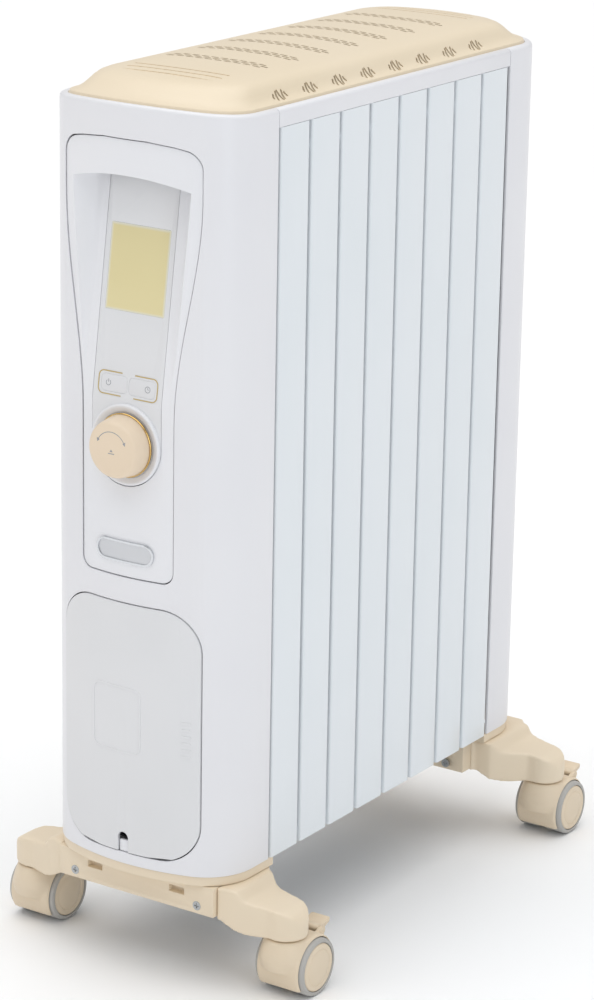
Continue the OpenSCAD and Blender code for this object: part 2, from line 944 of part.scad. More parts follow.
module rear_base() color("wheat") {
    bar_y = rear_bar_y;
    difference() {
        union() {
            translate([0, 0, base_top - rim_plate])
                linear_extrude(rim_plate - 0.05)
                    rear_plan(base_inset);
            for (s = [-1, 1])
                intersection() {
                    translate([0, 0, arm_bottom])
                        linear_extrude(base_top - arm_bottom - 0.05)
                            arm_plan(s, rear_axis_y, rear_axis_y - 40, rear_axis_y + 26, bar_y + 13);
                    along_y(rear_seam - 40, rear_seam + 80)
                        arm_side(s);
                }
            block([-arm_root - 1, bar_y + 12, base_top - rim_plate],
                [arm_root + 1, rear_seam + 1, base_top - 0.05]);
            for (x = screw_x)
                block([x - 6, bar_y + 12, bar_low + 1], [x + 6, bar_y + 22, base_top - rim_plate + eps]);
        }
        stem_bores(rear_axis_y);
        for (x = screw_x)
            translate([x, 0, screw_z])
                y_rod(screw_r + 0.01, bar_y + 11, bar_y + 20);
    }
}

screw_x = [-54.5, 54.5];
screw_z = 64;
screw_r = 1.8;
rear_bar_y = rear_seam - 16;

// Cross bar under the base, with two screw holes and two locating slots
module crossbar(bar_y) {
    difference() {
        block([-bar_half, bar_y, bar_low], [bar_half, bar_y + 11.98, base_top - rim_plate - 0.05]);
        for (x = screw_x) {
            translate([x, 0, screw_z])
                y_rod(screw_r + 0.1, bar_y - 1, bar_y + 13);
            block([x < 0 ? x + 12 : x - 24, bar_y - 1, base_top - rim_plate - 6],
                [x < 0 ? x + 24 : x - 12, bar_y + 4, base_top - rim_plate - 2.5]);
        }
    }
}

module front_crossbar() color("wheat") crossbar(front_seam - 54);

module rear_crossbar() color("wheat") crossbar(rear_bar_y);

module base_screws() color("silver") {
    for (bar_y = [front_seam - 54, rear_bar_y])
        for (x = screw_x)
            translate([x, 0, screw_z])
                difference() {
                    union() {
                        y_rod(screw_r, bar_y - 0.5, bar_y + 19);
                        y_rod(3.4, bar_y - 1.6, bar_y - 0.02);
                    }
                    block([-2, bar_y - 3, -0.5], [2, bar_y - 0.8, 0.5]);
                    block([-0.5, bar_y - 3, -2], [0.5, bar_y - 0.8, 2]);
                }
}

// ---- casters -------------------------------------------------------------

hood_r = wheel_r + 2.4;
hood_half = caster_w / 2 - 3;
web_half = 3;
stem_top = arm_bottom + 14;
ring_top = arm_bottom - 0.4;
disc_w = caster_w / 2 - web_half - 0.5;
ear_in = 9.6;
ear_out = 12.4;
pin_r = 1.5;

module at_caster(s, axis_y) {
    translate([s * swivel_x, axis_y, 0])
        children();
}

module at_axle() {
    translate([0, trail, wheel_r])
        children();
}

// Wheel cover, swivel stem, axle web and the two ears of the brake lever
module caster_frame(s, axis_y) color("burlywood") {
    at_caster(s, axis_y)
        difference() {
            union() {
                intersection() {
                    at_axle()
                        difference() {
                            x_rod(hood_r, -hood_half, hood_half);
                            x_rod(wheel_r + 0.8, -hood_half - 1, -web_half);
                            x_rod(wheel_r + 0.8, web_half, hood_half + 1);
                        }
                    along_x(-hood_half, hood_half)
                        polygon([[-30, 5], [trail, 9], [trail + 30, 26], [trail + 30, ring_top], [-30, ring_top]]);
                }
                translate([0, 0, wheel_r * 2 + 0.9])
                    cylinder(r = 13, h = ring_top - wheel_r * 2 - 0.9);
                translate([0, 0, wheel_r * 2 + 0.9])
                    cylinder(r = stem_r, h = stem_top - wheel_r * 2 - 0.9);
                block([-web_half, -2, wheel_r * 1.5], [web_half, trail, ring_top]);
                for (e = [-1, 1])
                    hull() {
                        translate([e > 0 ? ear_in : -ear_out, lever_y, lever_z])
                            x_rod(2.6, 0, ear_out - ear_in, $fn = 32);
                        at_axle()
                            rotate([lever_angle, 0, 0])
                                translate([e > 0 ? ear_in : -ear_out, wheel_r + 1.2, -4])
                                    cube([ear_out - ear_in, 1, 8]);
                    }
            }
            at_axle()
                x_rod(axle_r + fit, -big, big);
            translate([0, lever_y, lever_z])
                x_rod(pin_r + fit, -ear_out - 1, ear_out + 1);
            // window that the brake's toe reaches through
            at_axle()
                rotate([lever_angle, 0, 0])
                    translate([-ear_in + 0.3, wheel_r - 3, -5.5])
                        cube([2 * ear_in - 0.6, 8, 11]);
        }
}

// Two wheels on their axle
module caster_wheels(s, axis_y) color("lightgray") {
    at_caster(s, axis_y)
        at_axle() {
            x_rod(axle_r, -caster_w / 2 + 2, caster_w / 2 - 2);
            for (e = [-1, 1])
                mirror([e > 0 ? 0 : 1, 0, 0])
                    translate([web_half + 0.5, 0, 0])
                        rotate([0, 90, 0])
                            rotate_extrude()
                                polygon([[axle_r - eps, 0], [wheel_r - 1, 0], [wheel_r, 1], [wheel_r, disc_w - 2],
                                    [wheel_r - 1, disc_w - 0.7], [wheel_r - 4, disc_w - 0.3], [axle_r - eps, disc_w]]);
        }
}

// Pedal with a toe that presses on the wheels when it is stepped down
module brake_lever(s, axis_y) color("burlywood") {
    at_caster(s, axis_y)
        translate([0, lever_y, lever_z]) {
            x_rod(pin_r, -ear_out, ear_out);
            x_rod(2.5, -ear_in + 0.35, ear_in - 0.35);
            hull() {
                x_rod(1.6, -ear_in + 0.35, ear_in - 0.35, $fn = 32);
                translate([0, lever_reach - 1.3, -1])
                    x_rod(1.3, -ear_in + 2, ear_in - 2, $fn = 32);
            }
            rotate([lever_angle - 180 + brake_turn, 0, 0])
                along_x(-ear_in + 1.5, ear_in - 1.5)
                    polygon([[1, -1.6], [brake_toe - 0.3, -0.3], [brake_toe, 0], [brake_toe - 0.3, 0.3], [1, 1.6]]);
        }
}

module caster_frame_fl() caster_frame(-1, front_axis_y);
module caster_frame_fr() caster_frame(1, front_axis_y);
module caster_frame_rl() caster_frame(-1, rear_axis_y);
module caster_frame_rr() caster_frame(1, rear_axis_y);
module caster_wheels_fl() caster_wheels(-1, front_axis_y);
module caster_wheels_fr() caster_wheels(1, front_axis_y);
module caster_wheels_rl() caster_wheels(-1, rear_axis_y);
module caster_wheels_rr() caster_wheels(1, rear_axis_y);
module brake_lever_fl() brake_lever(-1, front_axis_y);
module brake_lever_fr() brake_lever(1, front_axis_y);
module brake_lever_rl() brake_lever(-1, rear_axis_y);
module brake_lever_rr() brake_lever(1, rear_axis_y);

front_housing();
panel_surround();
fascia();
display_window();
display_module();
power_button();
timer_button();
button_trim();
knob();
knob_collar();
knob_bezel();
encoder_body();
encoder_shaft();
badge_plate();
control_board();
power_board();
cord_door();
door_hinge_pins();
cord_tray();
cable_gland();
front_bulkhead();
top_cover();
side_rail_left();
side_rail_right();
rear_cover();
fin(1);  // fin_1
fin(2);  // fin_2
fin(3);  // fin_3
fin(4);  // fin_4
fin(5);  // fin_5
fin(6);  // fin_6
fin(7);  // fin_7
fin(8);  // fin_8
upper_header();
lower_header();
heating_element();
thermal_cutout();
oil_filler_plug();
front_base();
rear_base();
front_crossbar();
rear_crossbar();
base_screws();
caster_frame_fl();
caster_frame_fr();
caster_frame_rl();
caster_frame_rr();
caster_wheels_fl();
caster_wheels_fr();
caster_wheels_rl();
caster_wheels_rr();
brake_lever_fl();
brake_lever_fr();
brake_lever_rl();
brake_lever_rr();
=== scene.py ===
# %% [markdown]
# # Oil filled radiator heater
# An upright heater: eight steel fins full of oil, a moulded control unit at one end, a slotted
# cover on top and four casters below. The working frame with its joints is already made, so this
# lesson gives it its looks. Every piece is made in millimetres, because that is how a maker reads
# a drawing, and is turned to metres once, when it is finished. Camera and lights are in metres.

# %% Frame
import math

import bmesh
import bpy
from mathutils import Matrix, Vector


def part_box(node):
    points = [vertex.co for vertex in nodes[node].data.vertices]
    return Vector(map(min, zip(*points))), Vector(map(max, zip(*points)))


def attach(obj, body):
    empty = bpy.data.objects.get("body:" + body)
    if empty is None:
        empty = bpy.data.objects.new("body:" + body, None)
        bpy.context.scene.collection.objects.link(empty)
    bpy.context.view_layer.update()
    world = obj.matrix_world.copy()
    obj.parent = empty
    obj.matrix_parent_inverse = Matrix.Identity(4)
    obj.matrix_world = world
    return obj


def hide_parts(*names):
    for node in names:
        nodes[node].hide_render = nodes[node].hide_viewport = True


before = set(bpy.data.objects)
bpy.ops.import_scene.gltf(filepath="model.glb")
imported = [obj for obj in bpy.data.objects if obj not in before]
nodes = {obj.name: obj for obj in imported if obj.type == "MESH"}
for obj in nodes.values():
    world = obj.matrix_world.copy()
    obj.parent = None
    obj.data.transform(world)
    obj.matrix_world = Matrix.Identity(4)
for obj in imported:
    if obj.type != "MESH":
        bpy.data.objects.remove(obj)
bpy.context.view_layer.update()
MM = 0.001


# %% [markdown]
# ## Sizes
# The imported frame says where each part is. The outer sizes, the knob, the fascia and the casters'
# places are read from it. Smaller details, and some heights, keep sizes of their own.

# %% Sizes from the frame
def corners_mm(name):
    low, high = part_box(name)
    return Vector(low) / MM, Vector(high) / MM


fin_low, fin_high = corners_mm("fin_1")
last_fin_high = corners_mm("fin_8")[1]
half_w = fin_high.x
fin_bottom, fin_top = fin_low.z, fin_high.z
# The gap between the flanges of two fins; the end seams are taken half of it outside the fins
fin_gap = 3.2
front_seam = fin_low.y - fin_gap / 2
rear_seam = last_fin_high.y + fin_gap / 2
fin_pitch = (rear_seam - front_seam) / 8
front_face = corners_mm("front_housing")[0].y
rear_face = corners_mm("rear_cover")[1].y
front_depth = front_seam - front_face
rear_depth = rear_face - rear_seam
fascia_y = corners_mm("fascia")[0].y
knob_z = sum(v.z for v in corners_mm("knob")) / 2
# The fascia is upright round the knob and leans back from this height up
lean_z = knob_z + 30
lean = math.radians(8)
rim_top = corners_mm("rear_cover")[1].z
corner_r, crown_r, wall, rim_w, rim_lift = 40.0, 167.0, 2.5, 6.0, 5.0
print("seams", round(front_seam, 2), round(rear_seam, 2), "rim", round(rim_top, 1))

# %% [markdown]
# ## Camera and light
# A long lens keeps the uprights nearly parallel. The heater is pale, so it is lit as a product
# on a sweep: an even white surround, a very soft overhead sun, one broad key light on the left and
# a cool strip on the right, which draws the highlight down the rounded corner.

# %% Camera
azimuth, elevation, roll = (math.radians(a) for a in (33.653, 17.334, 0.991))
right = Vector((math.cos(azimuth), math.sin(azimuth), 0))
back = Vector((math.sin(azimuth) * math.cos(elevation), -math.cos(azimuth) * math.cos(elevation),
               math.sin(elevation)))
up = back.cross(right)
rolled_right = right * math.cos(roll) + up * math.sin(roll)
rolled_up = up * math.cos(roll) - right * math.sin(roll)
camera_data = bpy.data.cameras.new("camera")
camera_data.sensor_width = 36
camera_data.lens = 121.0248
camera_data.clip_end = 50
camera = bpy.data.objects.new("camera", camera_data)
turn = Matrix((rolled_right, rolled_up, back)).transposed()
camera.matrix_world = Matrix.Translation((1.3310, -1.8513 + front_seam * MM, 1.0563)) @ turn.to_4x4()
bpy.context.scene.collection.objects.link(camera)
bpy.context.scene.camera = camera
print("lens", round(camera_data.lens, 1), "mm")


# %% Lights and surround
def area_light(name, place, target, size, power, color=(1, 1, 1)):
    data = bpy.data.lights.new(name, "AREA")
    data.shape, data.size, data.size_y = "RECTANGLE", size[0], size[1]
    data.energy, data.color = power, color
    light = bpy.data.objects.new(name, data)
    aim = (Vector(target) - Vector(place)).to_track_quat("-Z", "Y")
    light.matrix_world = Matrix.Translation(place) @ aim.to_matrix().to_4x4()
    bpy.context.scene.collection.objects.link(light)
    return light


area_light("key_light", (-1.6, -2.6, 2.0), (0, -0.1, 0.35), (1.6, 1.6), 8)
area_light("corner_strip", (2.6, -1.3, 1.2), (0, 0, 0.35), (0.5, 2.0), 9, (0.80, 0.90, 1.0))
overhead = bpy.data.lights.new("overhead", "SUN")
overhead.energy, overhead.angle = 2.0, math.radians(80)
bpy.context.scene.collection.objects.link(bpy.data.objects.new("overhead", overhead))
world = bpy.data.worlds.new("white_surround")
world.use_nodes = True
world.node_tree.nodes["Background"].inputs["Color"].default_value = (1, 1, 1, 1)
world.node_tree.nodes["Background"].inputs["Strength"].default_value = 0.44
bpy.context.scene.world = world
bpy.context.scene.view_settings.view_transform = "Standard"


# %% [markdown]
# ## Finishes
# Each material starts from the real one. Moulded plastic is never perfectly even: its colour
# drifts a little over a hand's width, its gloss too, and its surface holds the fine grain of the
# mould. One function adds a node, one builds that common recipe, and each finish names its own
# colour, gloss and grain.

# %% Colour and node helpers
def linear(hex_color):
    channels = [int(hex_color[i:i + 2], 16) / 255 for i in (0, 2, 4)]
    return tuple(c / 12.92 if c <= 0.04045 else ((c + 0.055) / 1.055) ** 2.4 for c in channels) + (1,)


def add(tree, kind, inputs=None, **settings):
    made = tree.nodes.new(kind)
    for key, value in settings.items():
        setattr(made, key, value)
    for socket, value in (inputs or {}).items():
        if isinstance(value, bpy.types.NodeSocket):
            tree.links.new(value, made.inputs[socket])
        else:
            made.inputs[socket].default_value = value
    return made


# %% The moulded and painted recipe
finishes = {}


def finish(name, shade, deeper, roughness, grain_mm, grain_um, metallic=0.0, ior=1.5, coat=0.0,
           drift_mm=90):
    """A finish whose colour and gloss drift over drift_mm and whose surface has a fine grain."""
    material = bpy.data.materials.new(name)
    material.use_nodes = True
    tree = material.node_tree
    shader = tree.nodes["Principled BSDF"]
    place = add(tree, "ShaderNodeTexCoord").outputs["Object"]
    drift = add(tree, "ShaderNodeTexNoise", {"Vector": place, "Scale": 1000 / drift_mm, "Detail": 2.0,
                                             "Roughness": 0.5})
    tone = add(tree, "ShaderNodeMix", {"Factor": drift.outputs["Fac"], 6: linear(shade),
                                       7: linear(deeper)}, data_type="RGBA")
    gloss = add(tree, "ShaderNodeMapRange", {"Value": drift.outputs["Fac"], "From Min": 0.3, "From Max": 0.7,
                                             "To Min": roughness - 0.03, "To Max": roughness + 0.04})
    grain = add(tree, "ShaderNodeTexNoise", {"Vector": place, "Scale": 1000 / grain_mm, "Detail": 2.0})
    bump = add(tree, "ShaderNodeBump", {"Height": grain.outputs["Fac"], "Strength": 1.0,
                                        "Distance": grain_um * 1e-6})
    tree.links.new(tone.outputs[2], shader.inputs["Base Color"])
    tree.links.new(gloss.outputs["Result"], shader.inputs["Roughness"])
    tree.links.new(bump.outputs["Normal"], shader.inputs["Normal"])
    shader.inputs["Metallic"].default_value = metallic
    if not metallic:
        shader.inputs["IOR"].default_value = ior
    shader.inputs["Coat Weight"].default_value = coat
    finishes[name] = material
    return material


# %% Every finish of the heater
abs_white = finish("white_moulded_abs", "E9E9EC", "E4E4E8", 0.34, 1.2, 14, ior=1.53)
panel_white = finish("white_panel_abs", "ECECEF", "E6E7EB", 0.36, 1.2, 12, ior=1.53)
fascia_grey = finish("pale_grey_fascia_abs", "E3E3E5", "DEDFE1", 0.42, 1.0, 10, ior=1.53)
key_grey = finish("pale_grey_key_abs", "E2E2E4", "DEDEE1", 0.42, 1.0, 10, ior=1.53)
door_grey = finish("pale_grey_door_abs", "E4E4E6", "DCDDDF", 0.46, 1.2, 16, ior=1.53)
enamel = finish("white_stove_enamel", "E6EAEE", "E0E6EA", 0.22, 3.0, 10, ior=1.52, coat=0.3)
cover_cream = finish("cream_heatproof_polyamide", "ECDDC4", "E5D5B9", 0.40, 1.3, 20, ior=1.53)
knob_cream = finish("cream_knob_abs", "EEDCC4", "E6D2B8", 0.38, 1.0, 10, ior=1.53)
foot_cream = finish("cream_glass_filled_polyamide", "EBDCC4", "E3D2B8", 0.48, 1.1, 22, ior=1.53)
caster_cream = finish("cream_caster_polyamide", "E6D6BE", "DDCBB0", 0.46, 1.1, 18, ior=1.53)
tread_grey = finish("grey_soft_tread_rubber", "B9B7B3", "ABA9A5", 0.62, 0.9, 25, ior=1.5)
gold_ring = finish("gold_plated_brass", "D9B878", "CDA968", 0.24, 2.0, 4, metallic=1.0)
key_line = finish("gold_printed_line", "C9B27C", "BFA870", 0.38, 2.0, 4, metallic=0.4)
sign_grey = finish("grey_printed_sign", "9FA1A6", "95979C", 0.50, 1.0, 4)
badge_chrome = finish("chrome_plated_badge", "D8DADD", "CCCFD3", 0.12, 4.0, 3, metallic=1.0)
badge_fill = finish("silver_lacquered_badge", "D2D3D6", "C6C8CC", 0.34, 0.8, 8, metallic=0.7)
bare_steel = finish("zinc_plated_steel", "B9BBBC", "A6A9AB", 0.30, 1.5, 10, metallic=1.0)
dark_plastic = finish("black_polyamide", "242426", "1C1C1E", 0.45, 1.0, 15)
circuit_green = finish("green_circuit_laminate", "2C6A45", "25593A", 0.38, 2.2, 20)
tray_white = finish("white_tray_abs", "E2E3E6", "D9DADE", 0.45, 1.2, 16)
print(len(finishes), "finishes")

# %% [markdown]
# The display is a tinted acrylic window over a pale liquid crystal. Its printed border is soft, so
# the tint fades in over the last two millimetres from each edge, worked out from the distance to
# the window's own edge.

# %% Display window finish
lean_place = Matrix.Translation((0, fascia_y, lean_z)) @ Matrix.Rotation(-lean, 4, "X")
window_mid = sum(corners_mm("display_window"), Vector()) / 2
window_half_w, window_half_h, window_border = 25.0, 30.0, 2.2


def display_finish():
    material = finish("tinted_acrylic_window", "E4D8A6", "E0D3A0", 0.20, 6.0, 3, ior=1.49, coat=0.4)
    tree = material.node_tree
    shader = tree.nodes["Principled BSDF"]
    tint = shader.inputs["Base Color"].links[0].from_socket
    place = add(tree, "ShaderNodeTexCoord").outputs["Object"]
    apart = add(tree, "ShaderNodeSeparateXYZ", {"Vector": place})
    edges = []
    for axis, mid, reach in (("X", window_mid.x, window_half_w),
                             ("Z", window_mid.z, window_half_h * math.cos(lean))):
        off = add(tree, "ShaderNodeMath", {0: apart.outputs[axis], 1: mid * MM}, operation="SUBTRACT")
        size = add(tree, "ShaderNodeMath", {0: off.outputs[0]}, operation="ABSOLUTE")
        limits = {"Value": size.outputs[0], "From Min": (reach - window_border) * MM, "From Max": reach * MM}
        edges.append(add(tree, "ShaderNodeMapRange", limits, interpolation_type="SMOOTHSTEP"))
    edge = add(tree, "ShaderNodeMath", {0: edges[0].outputs["Result"], 1: edges[1].outputs["Result"]},
               operation="MAXIMUM")
    border = add(tree, "ShaderNodeMix", {"Factor": edge.outputs[0], 6: tint, 7: linear("E2DFCF")},
                 data_type="RGBA")
    tree.links.new(border.outputs[2], shader.inputs["Base Color"])
    return material


window_tint = display_finish()


# %% [markdown]
# ## Making and finishing a piece
# Most pieces of this heater are outlines pushed through a thickness, or cut out of each other, as
# their moulds are. So the helpers are few: one draws an outline and extrudes it, one spins a
# profile round an axis, one cuts or joins two solids, and one turns millimetres to metres, rounds
# the edges and hands the piece to a body.

# %% Outline and extrusion
AXES = {"x": Vector((1, 0, 0)), "y": Vector((0, 1, 0)), "z": Vector((0, 0, 1))}


def rect(left, low, right, high):
    """The corners of a rectangle, from its lower left round to its upper left."""
    return [(left, low), (right, low), (right, high), (left, high)]


def arc(cx, cz, r, start, end, steps=18):
    """Points on a round stretch, from one angle to another in degrees."""
    return [(cx + r * math.cos(math.radians(start + (end - start) * i / steps)),
             cz + r * math.sin(math.radians(start + (end - start) * i / steps))) for i in range(steps + 1)]


def round_corners(bm, ring, radii, steps):
    """Rounds each corner of a flat outline by its own radius."""
    for corner, radius in zip(ring, radii):
        if radius > 0:
            bmesh.ops.bevel(bm, geom=[corner], offset=radius, offset_type="OFFSET", segments=steps,
                            profile=0.5, affect="VERTICES", material=-1)


def prism(outline, axis, low, high, rounded=0, steps=6):
    """Extrudes a flat outline along an axis; rounded gives a radius for each corner, or one for all."""
    spread = {"x": lambda a, b: (low, a, b), "y": lambda a, b: (a, low, b), "z": lambda a, b: (a, b, low)}
    bm = bmesh.new()
    ring = [bm.verts.new(spread[axis](a, b)) for a, b in outline]
    bm.faces.new(ring)
    round_corners(bm, ring, rounded if isinstance(rounded, list) else [rounded] * len(ring), steps)
    grown = bmesh.ops.extrude_face_region(bm, geom=list(bm.faces), use_keep_orig=True)["geom"]
    bmesh.ops.translate(bm, vec=AXES[axis] * (high - low),
                        verts=[g for g in grown if isinstance(g, bmesh.types.BMVert)])
    bmesh.ops.recalc_face_normals(bm, faces=list(bm.faces))
    return bm


def box(low, high):
    return prism(rect(*low[:2], *high[:2]), "z", low[2], high[2])


# %% Turned shapes and placing
def turned(profile, centre, axis="y", steps=96):
    """Spins a profile of (radius, place along the axis) once round the axis."""
    along, out = AXES[axis], AXES["x" if axis == "z" else "z"]
    bm = bmesh.new()
    chain = [bm.verts.new(Vector(centre) + along * a + out * r) for r, a in profile]
    rim = [bm.edges.new(pair) for pair in zip(chain, chain[1:])]
    bmesh.ops.spin(bm, geom=chain + rim, cent=centre, axis=along, angle=math.tau, steps=steps, use_merge=True)
    bmesh.ops.remove_doubles(bm, verts=list(bm.verts), dist=0.004)
    bmesh.ops.recalc_face_normals(bm, faces=list(bm.faces))
    return bm


def rod(r, low, high, centre, axis="x", steps=24):
    """A plain round bar about an axis through its centre."""
    return turned([(0, low), (r, low), (r, high), (0, high)], centre, axis, steps)


def placed(bm, place, *turns):
    """Turns a shape about the origin, one (degrees, axis) after another, then moves it to its place."""
    for degrees, axis in turns:
        bmesh.ops.rotate(bm, cent=(0, 0, 0), matrix=Matrix.Rotation(math.radians(degrees), 3, axis),
                         verts=list(bm.verts))
    bmesh.ops.translate(bm, vec=place, verts=list(bm.verts))
    return bm


def gather(parts):
    """Puts several solids into one."""
    whole = bmesh.new()
    for part in parts:
        mesh = bpy.data.meshes.new("part")
        part.to_mesh(mesh)
        part.free()
        whole.from_mesh(mesh)
        bpy.data.meshes.remove(mesh)
    return whole


# %% Solids that cut and join
def as_object(bm, name="cutter"):
    mesh = bpy.data.meshes.new(name)
    bmesh.ops.recalc_face_normals(bm, faces=list(bm.faces))
    bm.to_mesh(mesh)
    bm.free()
    made = bpy.data.objects.new(name, mesh)
    bpy.context.scene.collection.objects.link(made)
    return made


def shape_of(piece, keep=False):
    """A piece's mesh as an open shape again; the piece itself goes unless it is kept."""
    bm = bmesh.new()
    bm.from_mesh(piece.data)
    if not keep:
        bpy.data.objects.remove(piece)
    return bm


def settle(piece):
    """Makes a piece's modifiers part of its mesh."""
    bpy.context.view_layer.update()
    shown = piece.evaluated_get(bpy.context.evaluated_depsgraph_get())
    mesh = bpy.data.meshes.new_from_object(shown)
    piece.modifiers.clear()
    old = piece.data
    piece.data = mesh
    bpy.data.meshes.remove(old)
    return piece


def cut(piece, tool, operation="DIFFERENCE", solver="EXACT"):
    """Cuts, joins or keeps the common part of a piece and a tool, then drops the tool."""
    tool = as_object(tool) if isinstance(tool, bmesh.types.BMesh) else tool
    change = piece.modifiers.new(operation.lower(), "BOOLEAN")
    change.operation, change.object, change.solver = operation, tool, solver
    settle(piece)
    bpy.data.objects.remove(tool)
    return piece


# %% Handing a piece over
def hand_over(name, piece, body, material, stands_for=(), edge=0.0, edge_steps=3, sharp=32):
    """Rounds the edges, turns millimetres to metres and gives the piece to its body."""
    piece = as_object(piece, name) if isinstance(piece, bmesh.types.BMesh) else piece
    piece.name = piece.data.name = name
    if edge:
        soften = piece.modifiers.new("edges", "BEVEL")
        soften.width, soften.segments, soften.limit_method = edge, edge_steps, "ANGLE"
        soften.angle_limit, soften.offset_type = math.radians(sharp), "OFFSET"
        settle(piece)
    piece.data.transform(Matrix.Scale(MM, 4))
    piece.data.materials.clear()
    piece.data.materials.append(material)
    piece.data.shade_smooth()
    piece.data.set_sharp_from_angle(angle=math.radians(sharp))
    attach(piece, body)
    if stands_for:
        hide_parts(*stands_for)
    print(name, len(piece.data.polygons), "faces")
    return piece


# %% [markdown]
# ## Front housing
# The control unit's shell is one moulding. Seen from above it is two corner arcs that run into
# one gently crowned arc, so its wall's section is drawn once at the seam and carried along the
# straights and round three spins, each about its own centre. The top rim then lifts towards the
# front, and the panel and door openings are cut out.

# %% A section carried round the crowned end
crown_turn = math.acos((half_w - corner_r) / (crown_r - corner_r))
corner_back = crown_r - (crown_r - corner_r) * math.sin(crown_turn)


def carry_round(section, depth, end_y, radii=(), steps=14):
    """Sweeps a closed section, given as (offset in from the surface, height), round a crowned end."""
    bm = bmesh.new()
    ring = [bm.verts.new((half_w - off, end_y, z)) for off, z in section]
    bm.faces.new(ring)
    round_corners(bm, ring, radii, 5)
    bmesh.ops.delete(bm, geom=list(bm.faces), context="FACES_ONLY")
    corner_y = front_seam - depth + corner_back
    stages = [((0, 0, 0), 0, 1, (0, corner_y - end_y, 0)),
              ((half_w - corner_r, corner_y, 0), -crown_turn, steps, (0, 0, 0)),
              ((0, front_seam - depth + crown_r, 0), -(math.pi - 2 * crown_turn), steps, (0, 0, 0)),
              ((corner_r - half_w, corner_y, 0), -crown_turn, steps, (0, 0, 0)),
              ((0, 0, 0), 0, 1, (0, end_y - corner_y, 0))]
    last = list(bm.verts) + list(bm.edges)
    for centre, angle, count, slide in stages:
        last = bmesh.ops.spin(bm, geom=last, cent=centre, axis=(0, 0, 1), dvec=slide, angle=angle,
                              steps=count)["geom_last"]
    bmesh.ops.remove_doubles(bm, verts=list(bm.verts), dist=0.001)
    bmesh.ops.holes_fill(bm, edges=list(bm.edges), sides=0)
    bmesh.ops.recalc_face_normals(bm, faces=list(bm.faces))
    return bm


def face_the_back(bm):
    """Turns a front shape round to the rear seam."""
    bmesh.ops.scale(bm, vec=(1, -1, 1), verts=list(bm.verts))
    bmesh.ops.translate(bm, vec=(0, front_seam + rear_seam, 0), verts=list(bm.verts))
    bmesh.ops.reverse_faces(bm, faces=list(bm.faces))
    bmesh.ops.recalc_face_normals(bm, faces=list(bm.faces))
    return bm


# %% Panel and door outlines
panel_low, panel_high = fin_bottom + 217, fin_bottom + 526
sweep_low, sweep_high = panel_high - 194, panel_high - 39
panel_wide, panel_narrow, panel_steps = 57, 38.5, 22


def panel_half(z):
    t = min(max((sweep_high - z) / (sweep_high - sweep_low), 0), 1)
    return panel_wide - (panel_wide - panel_narrow) * t * t * (3 - 2 * t)


def panel_outline(grow=0.0):
    """The keyhole surround's outline: its right side sampled upwards, then mirrored."""
    side = [(panel_narrow + grow, panel_low - grow)]
    side += [(panel_half(z) + grow, z) for z in (panel_low + 30 + 12 * i for i in range(panel_steps))]
    side += [(panel_wide + grow, panel_high - 6.0 + grow), (38, panel_high - 2.4 + grow),
             (18, panel_high - 0.5 + grow)]
    radii = [8 + grow] + [0] * panel_steps + [11, 0, 0]
    return side + [(-x, z) for x, z in reversed(side)], radii + radii[::-1]


door_low, door_high, door_half, door_r = fin_bottom + 9.5, fin_bottom + 197, 59.0, 29.0
opening_gap = 0.9


def door_outline(grow=0.0):
    w = door_half + grow
    return rect(-w, door_low - grow, w, door_high + grow), door_r + grow


# %% Front housing
housing_end = front_seam - fin_gap / 2
shell_section = [(0, fin_bottom), (0, rim_top), (rim_w, rim_top), (rim_w, rim_top - 7), (wall, rim_top - 10),
                 (wall, fin_bottom)]
bm = carry_round(shell_section, front_depth, housing_end, [0.7, 3.4, 0.8, 0, 0, 0])
for v in bm.verts:
    if v.co.z > rim_top - 20:
        v.co.z += rim_lift * (max(housing_end - v.co.y, 0) / front_depth) ** 3
shell = as_object(bm, "front_shell")
outline, radii = panel_outline(opening_gap)
cut(shell, prism(outline, "y", front_face - 5, front_seam - 30, radii, 8))
outline, radius = door_outline(opening_gap)
cut(shell, prism(outline, "y", front_face - 5, front_seam - 30, radius, 12))
hand_over("front_shell", shell, "heater", abs_white, ["front_housing"], 0.6, 3)

# %% [markdown]
# ## Rear cover
# The same section closes the other end. Its back wall has two fields of louvres, low and high, so
# that air can pass the last fin.

# %% Rear cover
bm = carry_round(shell_section, rear_depth, housing_end, [0.7, 3.4, 0.8, 0, 0, 0])
rear = as_object(face_the_back(bm), "rear_shell")
louvre_heights = [low + 12 * i for low in (fin_bottom + 42, fin_top - 118) for i in range(7)]
cut(rear, gather([prism(rect(-35, z - 2.5, 35, z + 2.5), "y", rear_face - 14, rear_face + 3, 2.4, 5)
                  for z in louvre_heights]))
hand_over("rear_shell", rear, "heater", abs_white, ["rear_cover"], 0.5, 2)

# %% [markdown]
# ## Top cover and rails
# The cream cover is a dish turned upside down. Its rim follows the plan of the whole heater, and
# each level of the wall is the same outline drawn in a little further and lifted, so the ogee runs
# evenly round all four sides. The slots over each gap between the fins are punched at the end.


# %% The plan of the whole heater
def whole_plan(off, steps=12):
    """The heater's outline from above, moved in by off, as a list of (x, y)."""
    points = []
    side_steps = 48
    for side, depth, seam_y in ((-1, front_depth, front_seam), (1, rear_depth, rear_seam)):
        corner_y = depth - corner_back
        arcs = [(half_w - corner_r, corner_y, corner_r - off, 0, crown_turn),
                (0, depth - crown_r, crown_r - off, crown_turn, math.pi - crown_turn),
                (corner_r - half_w, corner_y, corner_r - off, math.pi - crown_turn, math.pi)]
        for cx, cy, r, start, end in arcs:
            for i in range(steps + (cx < 0)):
                angle = start + (end - start) * i / steps
                points.append((-side * (cx + r * math.cos(angle)),
                               seam_y + side * (cy + r * math.sin(angle))))
        along = (rear_seam - front_seam) / side_steps
        points += [((half_w - off) * side, seam_y - side * along * i) for i in range(1, side_steps)]
    return points


